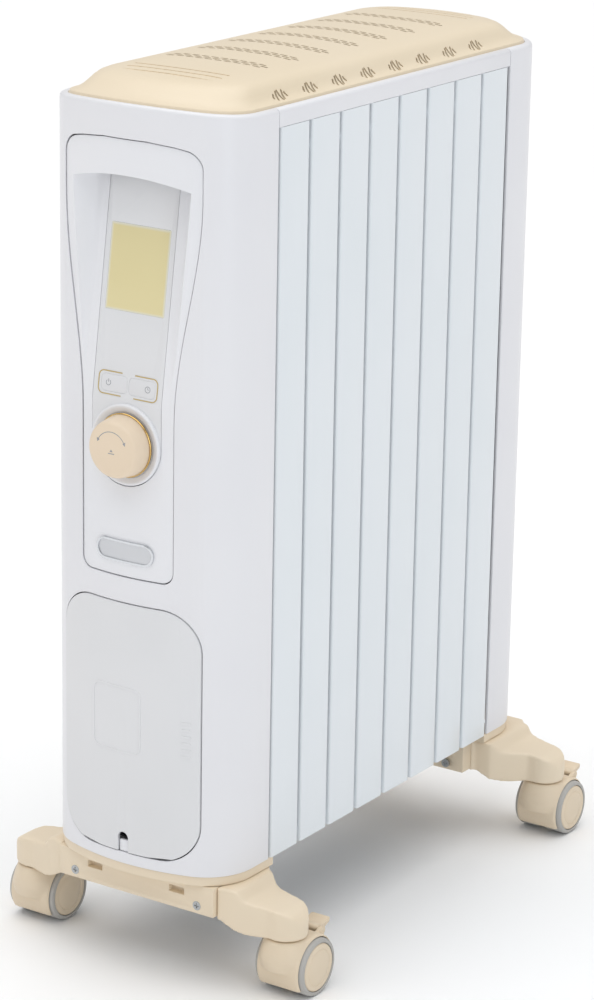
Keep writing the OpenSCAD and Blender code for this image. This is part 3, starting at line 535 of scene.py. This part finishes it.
# %% Cover wall, drawn in and lifted level by level
middle_y = (front_face + rear_face) / 2
cover_half = half_w - rim_w - 0.3
cover_long = (rear_face - front_face) / 2 - rim_w - 0.3
# Each level is (drawn in at the sides, drawn in at the ends, height)
cover_levels = [(0.0, 0.0, 634.0), (0.6, 0.8, 635.6), (4.0, 5.0, 637.0), (6.5, 9.0, 639.2),
                (8.5, 13.0, 642.2), (10.5, 17.0, 645.4), (13.0, 21.0, 648.0), (17.0, 25.0, 649.8),
                (22.0, 31.0, 651.0), (30.0, 45.0, 652.3), (42.0, 80.0, 653.6), (54.0, 120.0, 654.4),
                (66.0, 170.0, 654.8)]
bm = bmesh.new()
ring = [bm.verts.new((x, y, rim_top - 6)) for x, y in whole_plan(rim_w + 0.3)]
rim_edges = [bm.edges.new(pair) for pair in zip(ring, ring[1:] + ring[:1])]
last_in, last_end, last_z = 0.0, 0.0, rim_top - 6
for drawn_in, end_in, level in cover_levels:
    grown = bmesh.ops.extrude_edge_only(bm, edges=rim_edges)["geom"]
    ring = [g for g in grown if isinstance(g, bmesh.types.BMVert)]
    rim_edges = [g for g in grown if isinstance(g, bmesh.types.BMEdge) and all(v in ring for v in g.verts)]
    bmesh.ops.translate(bm, vec=(0, -middle_y, level - last_z), verts=ring)
    bmesh.ops.scale(bm, vec=((cover_half - drawn_in) / (cover_half - last_in),
                             (cover_long - end_in) / (cover_long - last_end), 1), verts=ring)
    bmesh.ops.translate(bm, vec=(0, middle_y, 0), verts=ring)
    last_in, last_end, last_z = drawn_in, end_in, level
bmesh.ops.holes_fill(bm, edges=rim_edges, sides=0)
bmesh.ops.recalc_face_normals(bm, faces=list(bm.faces))
for v in bm.verts:
    ahead = max(front_seam - v.co.y, 0) / front_depth
    v.co.z += rim_lift * ahead ** 3 * min(max((651 - v.co.z) / 12, 0), 1)
cover = as_object(bm, "cover")
shell = cover.modifiers.new("wall", "SOLIDIFY")
shell.thickness, shell.offset = 2.2, -1
settle(cover)

# %% Slots, scoops and grooves
slots = []
for gap in range(1, 8):
    for row, count in ((-1, 10), (0, 11), (1, 10)):
        y = front_seam + gap * fin_pitch + row * 3.9
        for i in range(count):
            x = (i - (count - 1) / 2) * 8.0
            slots.append(prism(rect(x - 3.1, y - 1.2, x + 3.1, y + 1.2), "z", 648, 660, 0.9, 2))

# Each scoop is five short strokes, given as (place along Y, length, slant in degrees)
scoop_strokes = ((-7.2, 5.0, -24), (-3.6, 8.6, -14), (0, 9.6, 12), (3.6, 8.6, -12), (7.2, 5.0, 24))
scoop_x, scoop_z, cover_slope = 68.4, 640.2, 50
for side in (-1, 1):
    for index in range(8):
        y = front_seam + 17 + index * 36.6
        for along, length, slant in scoop_strokes:
            stroke = prism(rect(-length / 2, -1.0, length / 2, 1.0), "z", -9, 9, 0.9, 2)
            slots.append(placed(stroke, (side * scoop_x, y + along, scoop_z), (slant, "Z"),
                                (cover_slope * side, "Y")))

for inward in (-21, -12, -3):
    for y in (front_seam + inward, rear_seam - inward):
        slots.append(prism(rect(-40, y - 0.9, 40, y + 0.9), "z", 651.2, 662, 0.85, 2))
cut(cover, gather(slots), solver="MANIFOLD")
hand_over("cover", cover, "heater", cover_cream, ["top_cover"], 0, sharp=42)

# %% Side rails
rails = []
for side in (-1, 1):
    outline = [(side * x, z) for x, z in rect(half_w - rim_w, fin_top + 0.1, half_w, rim_top)]
    rails.append(prism(outline, "y", housing_end + 0.8, rear_seam + fin_gap / 2 - 0.8, [0, 0.6, 3.4, 0.8], 5))
hand_over("side_rails", gather(rails), "heater", abs_white,
          ["side_rail_left", "side_rail_right"], 0.4, 2)

# %% [markdown]
# ## Fins
# A fin is two pressed steel sheets welded face to face. Oil runs up the five flutes between two
# hubs, and the wide flange at each side bends back on itself, which is what the eye sees as the
# flat slats on the heater's flank.

# %% One fin, copied along the stack
half_fin = fin_pitch / 2 - fin_gap / 2
right_side = [(79.2, 0.8), (79.2, half_fin - 0.8), (75.5, half_fin - 0.8), (75.5, half_fin), (80, half_fin)]
quarter_radii = [0, 0, 0, 0, 1.8]
fin_outline = right_side + [(x, -y) for x, y in reversed(right_side)]
fin_outline += [(-x, -y) for x, y in right_side] + [(-x, y) for x, y in reversed(right_side)]
fin_radii = (quarter_radii + quarter_radii[::-1]) * 2
fin_mesh = as_object(prism(fin_outline, "z", fin_bottom, fin_top, fin_radii, 4), "fin")
flute_low, flute_high, flute_taper, hub_heights = 161, 548, 3.5, (127, 582)
flute = [(0, flute_low), (3.4, flute_low), (5.6, flute_low + flute_taper), (5.6, flute_high - flute_taper),
         (3.4, flute_high), (0, flute_high)]
cut(fin_mesh, gather([turned(flute, (x, 0, 0), "z", 20) for x in (-52, -26, 0, 26, 52)]), "UNION")
hub = [(0, -18.6), (17.6, -18.6), (19, -17.2), (19, -2), (24, -0.4), (24, 0.4), (19, 2), (19, 17.2),
       (17.6, 18.6), (0, 18.6)]
cut(fin_mesh, gather([turned(hub, (0, 0, z), "y", 40) for z in hub_heights]), "UNION")
for index in range(8):
    skin = placed(shape_of(fin_mesh, keep=True), (0, front_seam + (index + 0.5) * fin_pitch, 0))
    hand_over("fin_%d_skin" % (index + 1), skin, "heater", enamel, ["fin_%d" % (index + 1)],
              sharp=35)
bpy.data.objects.remove(fin_mesh)

# %% Small blocks that hold the fins apart
spacers = []
for gap in range(1, 8):
    y = front_seam + gap * fin_pitch
    for x in (-76.6, 76.6):
        for z in (fin_top - 18, fin_bottom + 9):
            spacers.append(box((x - 2.4, y - 1.7, z - 2.2), (x + 0.2, y + 1.7, z + 2.2)))
hand_over("fin_spacers", gather(spacers), "heater", enamel)

# %% [markdown]
# ## Control panel
# The white surround is a keyhole set flush into the shell. Above the knob its face is scooped out
# by a leaning hollow with curved sides, and the bar left across the top is the handle. The grey
# fascia lies at the bottom of the hollow and turns upright behind the knob.


# %% The leaning hollow and the keyhole
def leaning(bm):
    bmesh.ops.transform(bm, matrix=lean_place, verts=list(bm.verts))
    return bm


def keyhole(half, high, low_y, high_y):
    """Strip with a round lower end about the knob's axis, pushed from low_y to high_y."""
    turn_points = [(half * math.cos(math.radians(a)), knob_z + half * math.sin(math.radians(a)))
                   for a in range(180, 361, 5)]
    return prism([(-half, high)] + turn_points + [(half, high)], "y", low_y, high_y)


def slanted(front, back, low, high, x=90):
    """Side section that follows the fascia: upright below the fold and leaning above it."""
    slope = math.tan(lean)
    line = [(front, low), (front, lean_z - front_fold(front)), (front + (high - lean_z) * slope, high),
            (back + (high - lean_z) * slope, high), (back, lean_z - front_fold(back)), (back, low)]
    return prism(line, "x", -x, x)


def front_fold(y):
    return (y - fascia_y) * math.tan(lean / 2)


hood_low, fascia_top = panel_high - 25, panel_high - 14
flare = [(29.5, 0), (33, -0.35), (37, -1.1), (40, -3), (43, -6.7), (47, -12), (50, -16.1), (53, -22),
         (56, -32), (58, -45)]
section = flare + [(-x, y) for x, y in reversed(flare)]
hollow = as_object(leaning(prism(section, "z", 0, 190)), "hollow")
arch_top, arch_drop, arch_half = 589, 7, 70
arch = [(-arch_half, lean_z - 40), (arch_half, lean_z - 40)]
arch += [(x, arch_top - arch_drop * (x / 50) ** 2) for x in range(arch_half, -arch_half - 1, -5)]
cut(hollow, prism(arch, "y", front_face - 40, front_seam), "INTERSECT")


# %% Surround and handle bar
def front_band(off_out, off_in, low, high, name):
    """A band of the front's own curve, between two offsets in from its surface."""
    section = [(off_out, low), (off_out, high), (off_in, high), (off_in, low)]
    return as_object(carry_round(section, front_depth, front_seam - 22), name)


surround = front_band(0.8, 26, fin_bottom, fin_top + 8, "panel_surround_white")
outline, radii = panel_outline()
cut(surround, prism(outline, "y", front_face - 4, front_seam - 30, radii, 8), "INTERSECT")
cut(surround, slanted(fascia_y - 30, fascia_y + 3, fin_bottom, fin_top), "INTERSECT")
cut(surround, hollow)
opening = as_object(keyhole(29.6, fascia_top + 0.2, fascia_y - 20, front_seam), "opening")
upper = [(fascia_y - 20, fin_bottom), (fascia_y - 20, lean_z + 3), (fascia_y + 0.2, lean_z + 3),
         (fascia_y - 0.2 + (fin_top - lean_z) * math.tan(lean), fin_top), (front_seam, fin_top),
         (front_seam, fin_bottom)]
cut(opening, prism(upper, "x", -90, 90), "INTERSECT")
cut(surround, opening)
pocket_back = fascia_y + (hood_low - lean_z) * math.tan(lean)
cut(surround, box((-44, front_face + 13, 585), (44, pocket_back, 605)))
hand_over("panel_surround_white", surround, "heater", panel_white, ["panel_surround"],
          0.9, 3, 34)

# %% Fascia with its openings
fascia = as_object(keyhole(29.2, fascia_top, fascia_y - 1, front_seam), "fascia_plate")
cut(fascia, slanted(fascia_y, fascia_y + 2.5, fin_bottom, fin_top), "INTERSECT")
key_z, key_x, key_w, key_h = 5.6, 11.8, 22.0, 12.0
display_low, display_fit = key_z + key_h + 44.8, 0.1
openings = [leaning(prism(rect(-window_half_w - display_fit, display_low - display_fit,
                               window_half_w + display_fit, display_low + 2 * window_half_h + display_fit),
                          "y", -2, 5, 1.0, 3)),
            rod(5.2, -4, 6, (0, fascia_y, knob_z), "y", 32)]


def key_outline(side, grow):
    w = key_w / 2 + grow
    return rect(side * key_x - w, key_z - grow, side * key_x + w, key_z + key_h + grow)


openings += [leaning(prism(key_outline(side, 0.1), "y", -2, 5, 3.1, 5)) for side in (-1, 1)]
cut(fascia, gather(openings))
hand_over("fascia_plate", fascia, "heater", fascia_grey, ["fascia"], 0.12, 2)


# %% Keys, their signs and the gold line round them
def ribbon(points, width, low, high):
    """A flat line of constant width through points in X and Z, pushed from low to high along Y."""
    left, right = [], []
    for i, (x, z) in enumerate(points):
        before, after = points[max(i - 1, 0)], points[min(i + 1, len(points) - 1)]
        along = Vector((after[0] - before[0], after[1] - before[1])).normalized()
        left.append((x - along.y * width / 2, z + along.x * width / 2))
        right.append((x + along.y * width / 2, z - along.x * width / 2))
    return prism(left + right[::-1], "y", low, high)


for name, side in (("power", -1), ("timer", 1)):
    body = name + "_key"
    key = leaning(prism(key_outline(side, 0), "y", 0.05, 3.7, 3.0, 5))
    hand_over(body + "_cap", key, body, key_grey, [name + "_button"], 0.15, 2)
    cx, cz = side * 16.7, key_z + key_h / 2
    if name == "power":
        width, strokes = 0.45, [arc(cx, cz, 1.9, 125, 415), [(cx, cz + 0.3), (cx, cz + 2.6)]]
    else:
        width, strokes = 0.4, [arc(cx, cz, 2.1, 0, 359.9, 28), [(cx, cz + 1.4), (cx, cz), (cx + 1.1, cz)]]
    sign = leaning(gather([ribbon(stroke, width, -0.03, 0.2) for stroke in strokes]))
    hand_over(body + "_sign", sign, body, sign_grey)

frame_low, frame_high, frame_start, frame_reach, frame_r = key_z - 2.0, key_z + key_h + 2.0, 5.5, 25.0, 4
frame_path = [(frame_start, frame_high)] + arc(frame_reach - frame_r, frame_high - frame_r, frame_r, 90, 0, 6)
frame_path += arc(frame_reach - frame_r, frame_low + frame_r, frame_r, 0, -90, 6) + [(frame_start, frame_low)]
frame_lines = [ribbon([(side * x, z) for x, z in frame_path], 0.75, -0.22, 0.4) for side in (-1, 1)]
hand_over("key_frame_line", leaning(gather(frame_lines)), "heater", key_line, ["button_trim"])

# %% Knob, ring and bezel
knob_low, knob_high = corners_mm("knob")
foot, tip = knob_high.y, knob_low.y
knob_place = (0, 0, knob_z)
profile = [(0, foot), (20.8, foot), (21.7, foot - 0.8), (21.9, foot - 2.2), (20.6, tip + 3.4),
           (19.9, tip + 1.5), (18.6, tip + 0.35), (17.0, tip), (0, tip)]
knob_body = as_object(turned(profile, knob_place), "knob_cream_body")
cut(knob_body, rod(3.06, foot + 1, tip + 3, knob_place, "y", 32))
hand_over("knob_cream_body", knob_body, "knob_turn", knob_cream, ["knob"], 0.5, 3)
ring_profile = [(22.1, foot - 1.9), (22.1, foot - 0.3), (22.7, foot - 0.3), (22.9, foot - 0.8),
                (22.9, foot - 1.5), (22.6, foot - 1.9), (22.1, foot - 1.9)]
hand_over("knob_gold_ring", turned(ring_profile, knob_place), "knob_turn", gold_ring,
          ["knob_collar"])

mark_r, mark_low, mark_high, mark_mid = 12.5, tip - 0.06, tip + 0.3, knob_z + 0.5
marks = [ribbon(arc(0, mark_mid, mark_r, 30, 150, 24), 0.5, mark_low, mark_high)]
for side in (-1, 1):
    x, z = side * mark_r * math.cos(math.radians(30)), mark_mid + mark_r * math.sin(math.radians(30))
    marks.append(prism([(x - side * 1.1, z - 0.4), (x + side * 1.3, z + 0.9), (x + side * 0.9, z - 2.2)], "y",
                       mark_low, mark_high))
marks.append(prism([(-1.3, knob_z - 1.2), (1.3, knob_z - 1.2), (0, mark_mid)], "y", mark_low, mark_high))
marks.append(box((-2.6, mark_low, knob_z - 2.8), (2.6, mark_high, knob_z - 2.2)))
hand_over("knob_marks", gather(marks), "knob_turn", sign_grey)
bezel = [(23.6, fascia_y - 0.6), (23.6, fascia_y), (29.0, fascia_y), (29.0, fascia_y - 1.6),
         (28.5, fascia_y - 2.2), (27.8, fascia_y - 2.4), (26.6, fascia_y - 1.9), (25.0, fascia_y - 1.0),
         (23.6, fascia_y - 0.6)]
hand_over("knob_bezel_white", turned(bezel, knob_place, "y", 128), "heater", panel_white,
          ["knob_bezel"], sharp=60)

# %% Plain badge
badge_mid = panel_low + 18


def badge(half_wide, half_high, off_out, off_in):
    body = front_band(off_out, off_in, 300, 350, "badge")
    outline = rect(-half_wide, badge_mid - half_high, half_wide, badge_mid + half_high)
    return cut(body, prism(outline, "y", front_face - 4, front_face + 12, half_high - 0.05, 10), "INTERSECT")


rim = badge(24.5, 8, -0.5, 1.2)
cut(rim, prism(rect(-22.9, badge_mid - 6.4, 22.9, badge_mid + 6.4), "y", front_face - 4, front_face + 20,
               6.35, 10))
hand_over("badge_rim", rim, "heater", badge_chrome, ["badge_plate"], 0.3, 2)
hand_over("badge_field", badge(23.0, 6.5, 0.15, 1.1), "heater", badge_fill)

# %% [markdown]
# ## Cord door
# The door is a smooth grey shell that stands just proud of the housing. It has a notch for the
# cord at its foot, a faint raised frame and grip ribs for a thumb, and it tips out on two
# goosenecks below its lower edge.

# %% Door
door_proud = 0.6
door = front_band(-door_proud, 2.2, fin_bottom, door_high + 6, "cord_door_grey")
outline, radius = door_outline()
cut(door, prism(outline, "y", front_face - 6, front_seam - 28, radius, 14), "INTERSECT")
hinge_y, hinge_z = front_face + 5.2, door_low - 5
hinge_place = (0, hinge_y, hinge_z)
cut(door, rod(6.74, -70, 70, hinge_place, "x", 64))
cut(door, prism(rect(-4.5, door_low - 12, 4.5, door_low + 15), "y", front_face - 6, front_face + 12, 4.4, 8))
hand_over("cord_door_grey", door, "door", door_grey, ["cord_door"], 0.8, 3)


def door_relief(outline, radius):
    """A thin raised shape that follows the crowned face of the door."""
    skin = front_band(-door_proud - 0.4, -0.2, fin_bottom, door_high, "relief")
    return cut(skin, prism(outline, "y", front_face - 6, front_face + 12, radius, 6), "INTERSECT")


relief = door_relief(rect(-28, 173, 15, 223), 7)
cut(relief, prism(rect(-26.6, 174.4, 13.6, 221.6), "y", front_face - 8, front_face + 12, 5.8, 6))
hand_over("door_raised_frame", relief, "door", door_grey, (), 0.15, 2)
ribs = [door_relief(rect(46, z, 53, z + 1.6), 0.7) for z in range(178, 204, 5)]
hand_over("door_grip_ribs", gather([shape_of(rib) for rib in ribs]), "door", door_grey)

clip = box((-3.8, front_face + 0.9, door_low - 0.4), (3.8, front_face + 4, door_low + 8.4))
hand_over("cord_notch_clip", clip, "heater", panel_white, (), 0.6, 2)

necks = []
for side in (-1, 1):
    x0, x1 = side * 11 - 3, side * 11 + 3
    path = [(0, -1.7), (7, -1.7), (7, 11), (-3.2, 14), (-3.2, 9), (5, 7.6), (5, 1.1), (0, 1.1)]
    necks.append(prism([(hinge_y + y, hinge_z + z) for y, z in path], "x", x0, x1,
                       [0, 2, 3, 0, 0, 1.5, 1, 0], 4))
    knuckle = [(1.05, x0), (1.7, x0), (1.7, x1), (1.05, x1), (1.05, x0)]
    necks.append(turned(knuckle, hinge_place, "x", 24))
hand_over("door_goosenecks", gather(necks), "door", door_grey)

# %% [markdown]
# ## Base
# Two cream mouldings carry the heater: a thin rim that follows the covers, and on each side an
# arm that sweeps down and out to a caster. The arms have no sharp edge anywhere, so each is cut
# to its two views, remeshed evenly and relaxed, as clay would be.


# %% Rims, arms and cross bars
def relaxed(piece, voxel, repeat):
    """Remeshes a solid evenly and relaxes it, which rounds every edge and blend."""
    even = piece.modifiers.new("even", "REMESH")
    even.mode, even.voxel_size = "VOXEL", voxel
    bm = shape_of(settle(piece), keep=True)
    for _ in range(repeat):
        bmesh.ops.smooth_vert(bm, verts=list(bm.verts), factor=0.5, use_axis_x=True, use_axis_y=True,
                              use_axis_z=True)
    bm.to_mesh(piece.data)
    bm.free()
    return piece


swivel_x, arm_low, arm_r, base_top = 112.0, 46.4, 16.0, fin_bottom
trail = 12.0
front_axis, rear_axis = (sum(v.y for v in corners_mm("caster_wheels_" + tag)) / 2 - trail
                         for tag in ("fl", "rl"))


def arm(side, axis_y, front_root, back_root, bar_y):
    """One foot arm: a side view with a concave slope and rounded nose, within a plan that tapers."""
    nose = swivel_x + arm_r
    profile = [(60, arm_low + 11), (72, arm_low + 8.5), (82, arm_low + 3), (92, arm_low), (nose, arm_low),
               (nose, arm_low + 11), (nose - 1.4, arm_low + 15.6), (nose - 5, arm_low + 19.6),
               (nose - 12, arm_low + 22.6), (nose - 22, arm_low + 23.6), (nose - 32, arm_low + 24.6),
               (nose - 39, arm_low + 26.4), (half_w + 4, base_top - 8.6), (half_w - 1, base_top - 7.5),
               (60, base_top - 7.5)]
    body = as_object(prism([(side * x, z) for x, z in profile], "y", axis_y - 60, axis_y + 60), "arm")
    plan = [(69.3, front_root), (83, front_root + 3), (swivel_x - 6, axis_y - arm_r + 0.5)]
    plan += arc(swivel_x, axis_y, arm_r, -90, 90)
    plan += [(swivel_x - 18, axis_y + arm_r + 3), (half_w, back_root - 5), (half_w - 4, back_root),
             (60, back_root), (60, bar_y), (69.3, bar_y)]
    plan = prism([(side * x, y) for x, y in plan], "z", arm_low - 1, base_top + 1)
    return cut(body, plan, "INTERSECT")


for name, axis_y, front_root, back_root, bar_y in (
        ("front", front_axis, front_seam - 51, front_seam + 6, front_seam - 41),
        ("rear", rear_axis, rear_axis - 40, rear_axis + 26, rear_seam - 3)):
    rim_section = [(1.0, base_top - 7.4), (1.0, base_top - 0.05), (14, base_top - 0.05), (14, base_top - 7.4)]
    plate = carry_round(rim_section, front_depth, front_seam + (1 if name == "rear" else 6), [1.2, 0.6, 0, 0])
    if name == "rear":
        plate = face_the_back(plate)
    hand_over(name + "_base_rim", plate, "heater", foot_cream, [name + "_base"])
    for side in (-1, 1):
        foot_arm = relaxed(arm(side, axis_y, front_root, back_root, bar_y), 1.1, 9)
        cut(foot_arm, rod(4.05, arm_low - 3, arm_low + 15, (side * swivel_x, axis_y, 0), "z"))
        hand_over("%s_arm_%s" % (name, "left" if side < 0 else "right"), foot_arm, "heater",
                  foot_cream, sharp=60)

# %% Cross bars with their locating slots
for name, bar_y in (("front", front_seam - 54), ("rear", rear_seam - 16)):
    bar = as_object(box((-69, bar_y, 58), (69, bar_y + 11.9, base_top - 7.7)), "bar")
    pockets = [box((x - 6.5, bar_y - 1, 69.5), (x + 6.5, bar_y + 5, 74.5)) for x in (-36.5, 36.5)]
    pockets += [rod(1.9, -2, 14, (x, bar_y, 64), "y") for x in (-54.5, 54.5)]
    cut(bar, gather(pockets))
    hand_over(name + "_cross_bar", bar, "heater", foot_cream, [name + "_crossbar"], 0.6, 2)

# %% [markdown]
# ## Casters
# Each caster has a barrel shaped hood that blends up into its swivel neck, two wheels with a soft
# grey tread round a cream disc, and a brake pedal at the back. One set is made and copied to the
# four corners.

# %% Caster hood, wheels and pedal
wheel_r, hood_r, hood_half = 21.5, 23.9, 18.0
axle_y, axle_z = trail, wheel_r
axle, lever = (0, axle_y, axle_z), (0, 29.42, 42.26)


def about_lever(points):
    return [(lever[1] + y, lever[2] + z) for y, z in points]


def caster_hood():
    barrel = [(0, -hood_half), (hood_r - 1.5, -hood_half), (hood_r, -hood_half + 1.5),
              (hood_r, hood_half - 1.5), (hood_r - 1.5, hood_half), (0, hood_half)]
    hood = as_object(turned(barrel, axle, "x", 72), "hood")
    neck = [(0, 45.9), (14.2, 45.9), (15.4, 44.5), (16.6, 41), (18.2, 36), (19, 30), (17, 22), (0, 22)]
    cut(hood, turned(neck, (0, 0, 0), "z", 48), "UNION")
    side_view = [(-30, 6), (axle_y - 2, 8.5), (axle_y + 8, 13), (axle_y + 16, 19), (axle_y + 30, 27),
                 (axle_y + 30, 45.9), (-30, 45.9)]
    cut(hood, prism(side_view, "x", -30, 30), "INTERSECT")
    relaxed(hood, 0.9, 8)
    window = prism(rect(-9.3, -5.5, 9.3, 5.5), "y", wheel_r - 3, wheel_r + 5)
    for bay in (rod(22.3, -30, -3, axle, "x", 72), rod(22.3, 3, 30, axle, "x", 72), rod(3.06, -30, 30, axle),
                placed(window, axle, (50, "X"))):
        cut(hood, bay)
    parts = [shape_of(hood), rod(4, 43, 60.4, (0, 0, 0), "z")]
    for low, high in ((-12.4, -9.6), (9.6, 12.4)):
        ear = as_object(rod(2.6, low, high, lever))
        web = about_lever([(-9, -0.3), (-4.5, -2.6), (-0.9, -6.2), (2.2, -1.4), (-0.6, 2.5)])
        cut(ear, prism(web, "x", low, high), "UNION")
        cut(ear, rod(1.56, low - 1, high + 1, lever, "x", 20))
        parts.append(shape_of(ear))
    return gather(parts)


def wheel_rings():
    tread = [(18.3, 3.6), (20.6, 3.6), (21.5, 4.6), (21.5, 18.6), (20.9, 20.1), (19.8, 20.7), (18.3, 20.5),
             (18.3, 3.6)]
    disc = [(0, 3.6), (17.9, 3.6), (17.9, 19.9), (17.2, 20.6), (14.0, 20.8), (13.4, 20.45), (12.8, 20.8),
            (8, 20.95), (0, 21.0)]
    treads, discs = ([turned([(r, side * a) for r, a in profile], axle, "x", 72) for side in (-1, 1)]
                     for profile in (tread, disc))
    return gather(treads), gather(discs + [rod(3, -4, 4, axle)])


def pedal():
    side_view = about_lever([(-1.5, -2.4), (4, -2.9), (9.5, -2.0), (13.6, 0.2), (15.8, 2.4), (15.6, 3.5),
                             (14.0, 3.4), (10, 1.3), (5, 0.9), (1.5, 2.2), (-2, 1.8)])
    tongue = as_object(prism(side_view, "x", -9.2, 9.2, [1, 2, 3, 3, 0.6, 0.6, 0.8, 3, 3, 1.2, 1], 4))
    right_side = [(9.2, -6), (9.2, 2), (7.0, 8), (8.8, 16)]
    top_view = [(-9.2, -6)] + right_side + [(-x, y) for x, y in reversed(right_side[1:])]
    cut(tongue, prism([(x, lever[1] + y) for x, y in top_view], "z", 30, 50, [0, 0, 2, 6, 5, 5, 6, 2], 6),
        "INTERSECT")
    pin = [(0, -12.4), (1.5, -12.4), (1.5, -9.2), (2.5, -9.2), (2.5, 9.2), (1.5, 9.2), (1.5, 12.4), (0, 12.4)]
    cut(tongue, turned(pin, lever, "x", 24), "UNION")
    toe = prism([(1, -1.6), (5.1, -0.3), (5.4, 0), (5.1, 0.3), (1, 1.6)], "x", -8.1, 8.1)
    return gather([shape_of(tongue), placed(toe, lever, (50 - 180 + 15, "X"))])


tread_shape, disc_shape = wheel_rings()
caster_parts = (
    ("caster_hood", as_object(caster_hood()), "caster", "caster_cream", caster_cream, "caster_frame", 0, 50),
    ("wheel_discs", as_object(disc_shape), "wheels", "wheel_cream", caster_cream, "caster_wheels", 0, 30),
    ("wheel_treads", as_object(tread_shape), "wheels", "wheel_cream", tread_grey, None, 0, 45),
    ("brake_pedal", as_object(pedal()), "brake", "caster_cream", caster_cream, "brake_lever", 0.5, 40))
corners = (("fl", -1, front_axis), ("fr", 1, front_axis), ("rl", -1, rear_axis), ("rr", 1, rear_axis))
for tag, side, axis_y in corners:
    for name, master, body, slot, material, node, edge, sharp in caster_parts:
        piece = placed(shape_of(master, keep=True), (side * swivel_x, axis_y, 0))
        hand_over("%s_%s" % (name, tag), piece, "%s_%s" % (body, tag), material,
                  ["%s_%s" % (node, tag)] if node else (), edge, 2, sharp)
for part in caster_parts:
    bpy.data.objects.remove(part[1])

# %% [markdown]
# ## The working parts that keep their own shape
# Circuit boards, headers, the cord tray and the screws are already right as they are. They only
# need their finishes.

# %% Finishes on the remaining working parts
plain_parts = {
    bare_steel: ["door_hinge_pins", "base_screws", "encoder_body", "encoder_shaft", "front_bulkhead",
                 "upper_header", "lower_header", "heating_element", "oil_filler_plug"],
    dark_plastic: ["display_module", "thermal_cutout", "cable_gland"],
    circuit_green: ["control_board", "power_board"],
    tray_white: ["cord_tray"],
    foot_cream: ["front_crossbar", "rear_crossbar", "front_base", "rear_base"],
    window_tint: ["display_window"],
    abs_white: ["front_housing", "rear_cover", "side_rail_left", "side_rail_right"],
    panel_white: ["panel_surround", "knob_bezel"],
    fascia_grey: ["fascia", "power_button", "timer_button"],
    key_line: ["button_trim"],
    gold_ring: ["knob_collar"],
    knob_cream: ["knob"],
    badge_chrome: ["badge_plate"],
    door_grey: ["cord_door"],
    cover_cream: ["top_cover"],
    enamel: ["fin_%d" % i for i in range(1, 9)],
    caster_cream: ["%s_%s" % (part, tag) for part in ("caster_frame", "caster_wheels", "brake_lever")
                   for tag, side, axis_y in corners],
}
for material, names in plain_parts.items():
    for name in names:
        node = nodes[name]
        node.data.materials.clear()
        node.data.materials.append(material)
print(sum(len(names) for names in plain_parts.values()), "working parts finished")

# %% Floor
floor_finish = finish("matte_white_sweep", "FBFBFB", "F8F8F8", 0.9, 8.0, 10, drift_mm=900)
floor_bm = bmesh.new()
bmesh.ops.create_grid(floor_bm, x_segments=1, y_segments=1, size=30)
floor = as_object(floor_bm, "floor")
floor.data.materials.append(floor_finish)
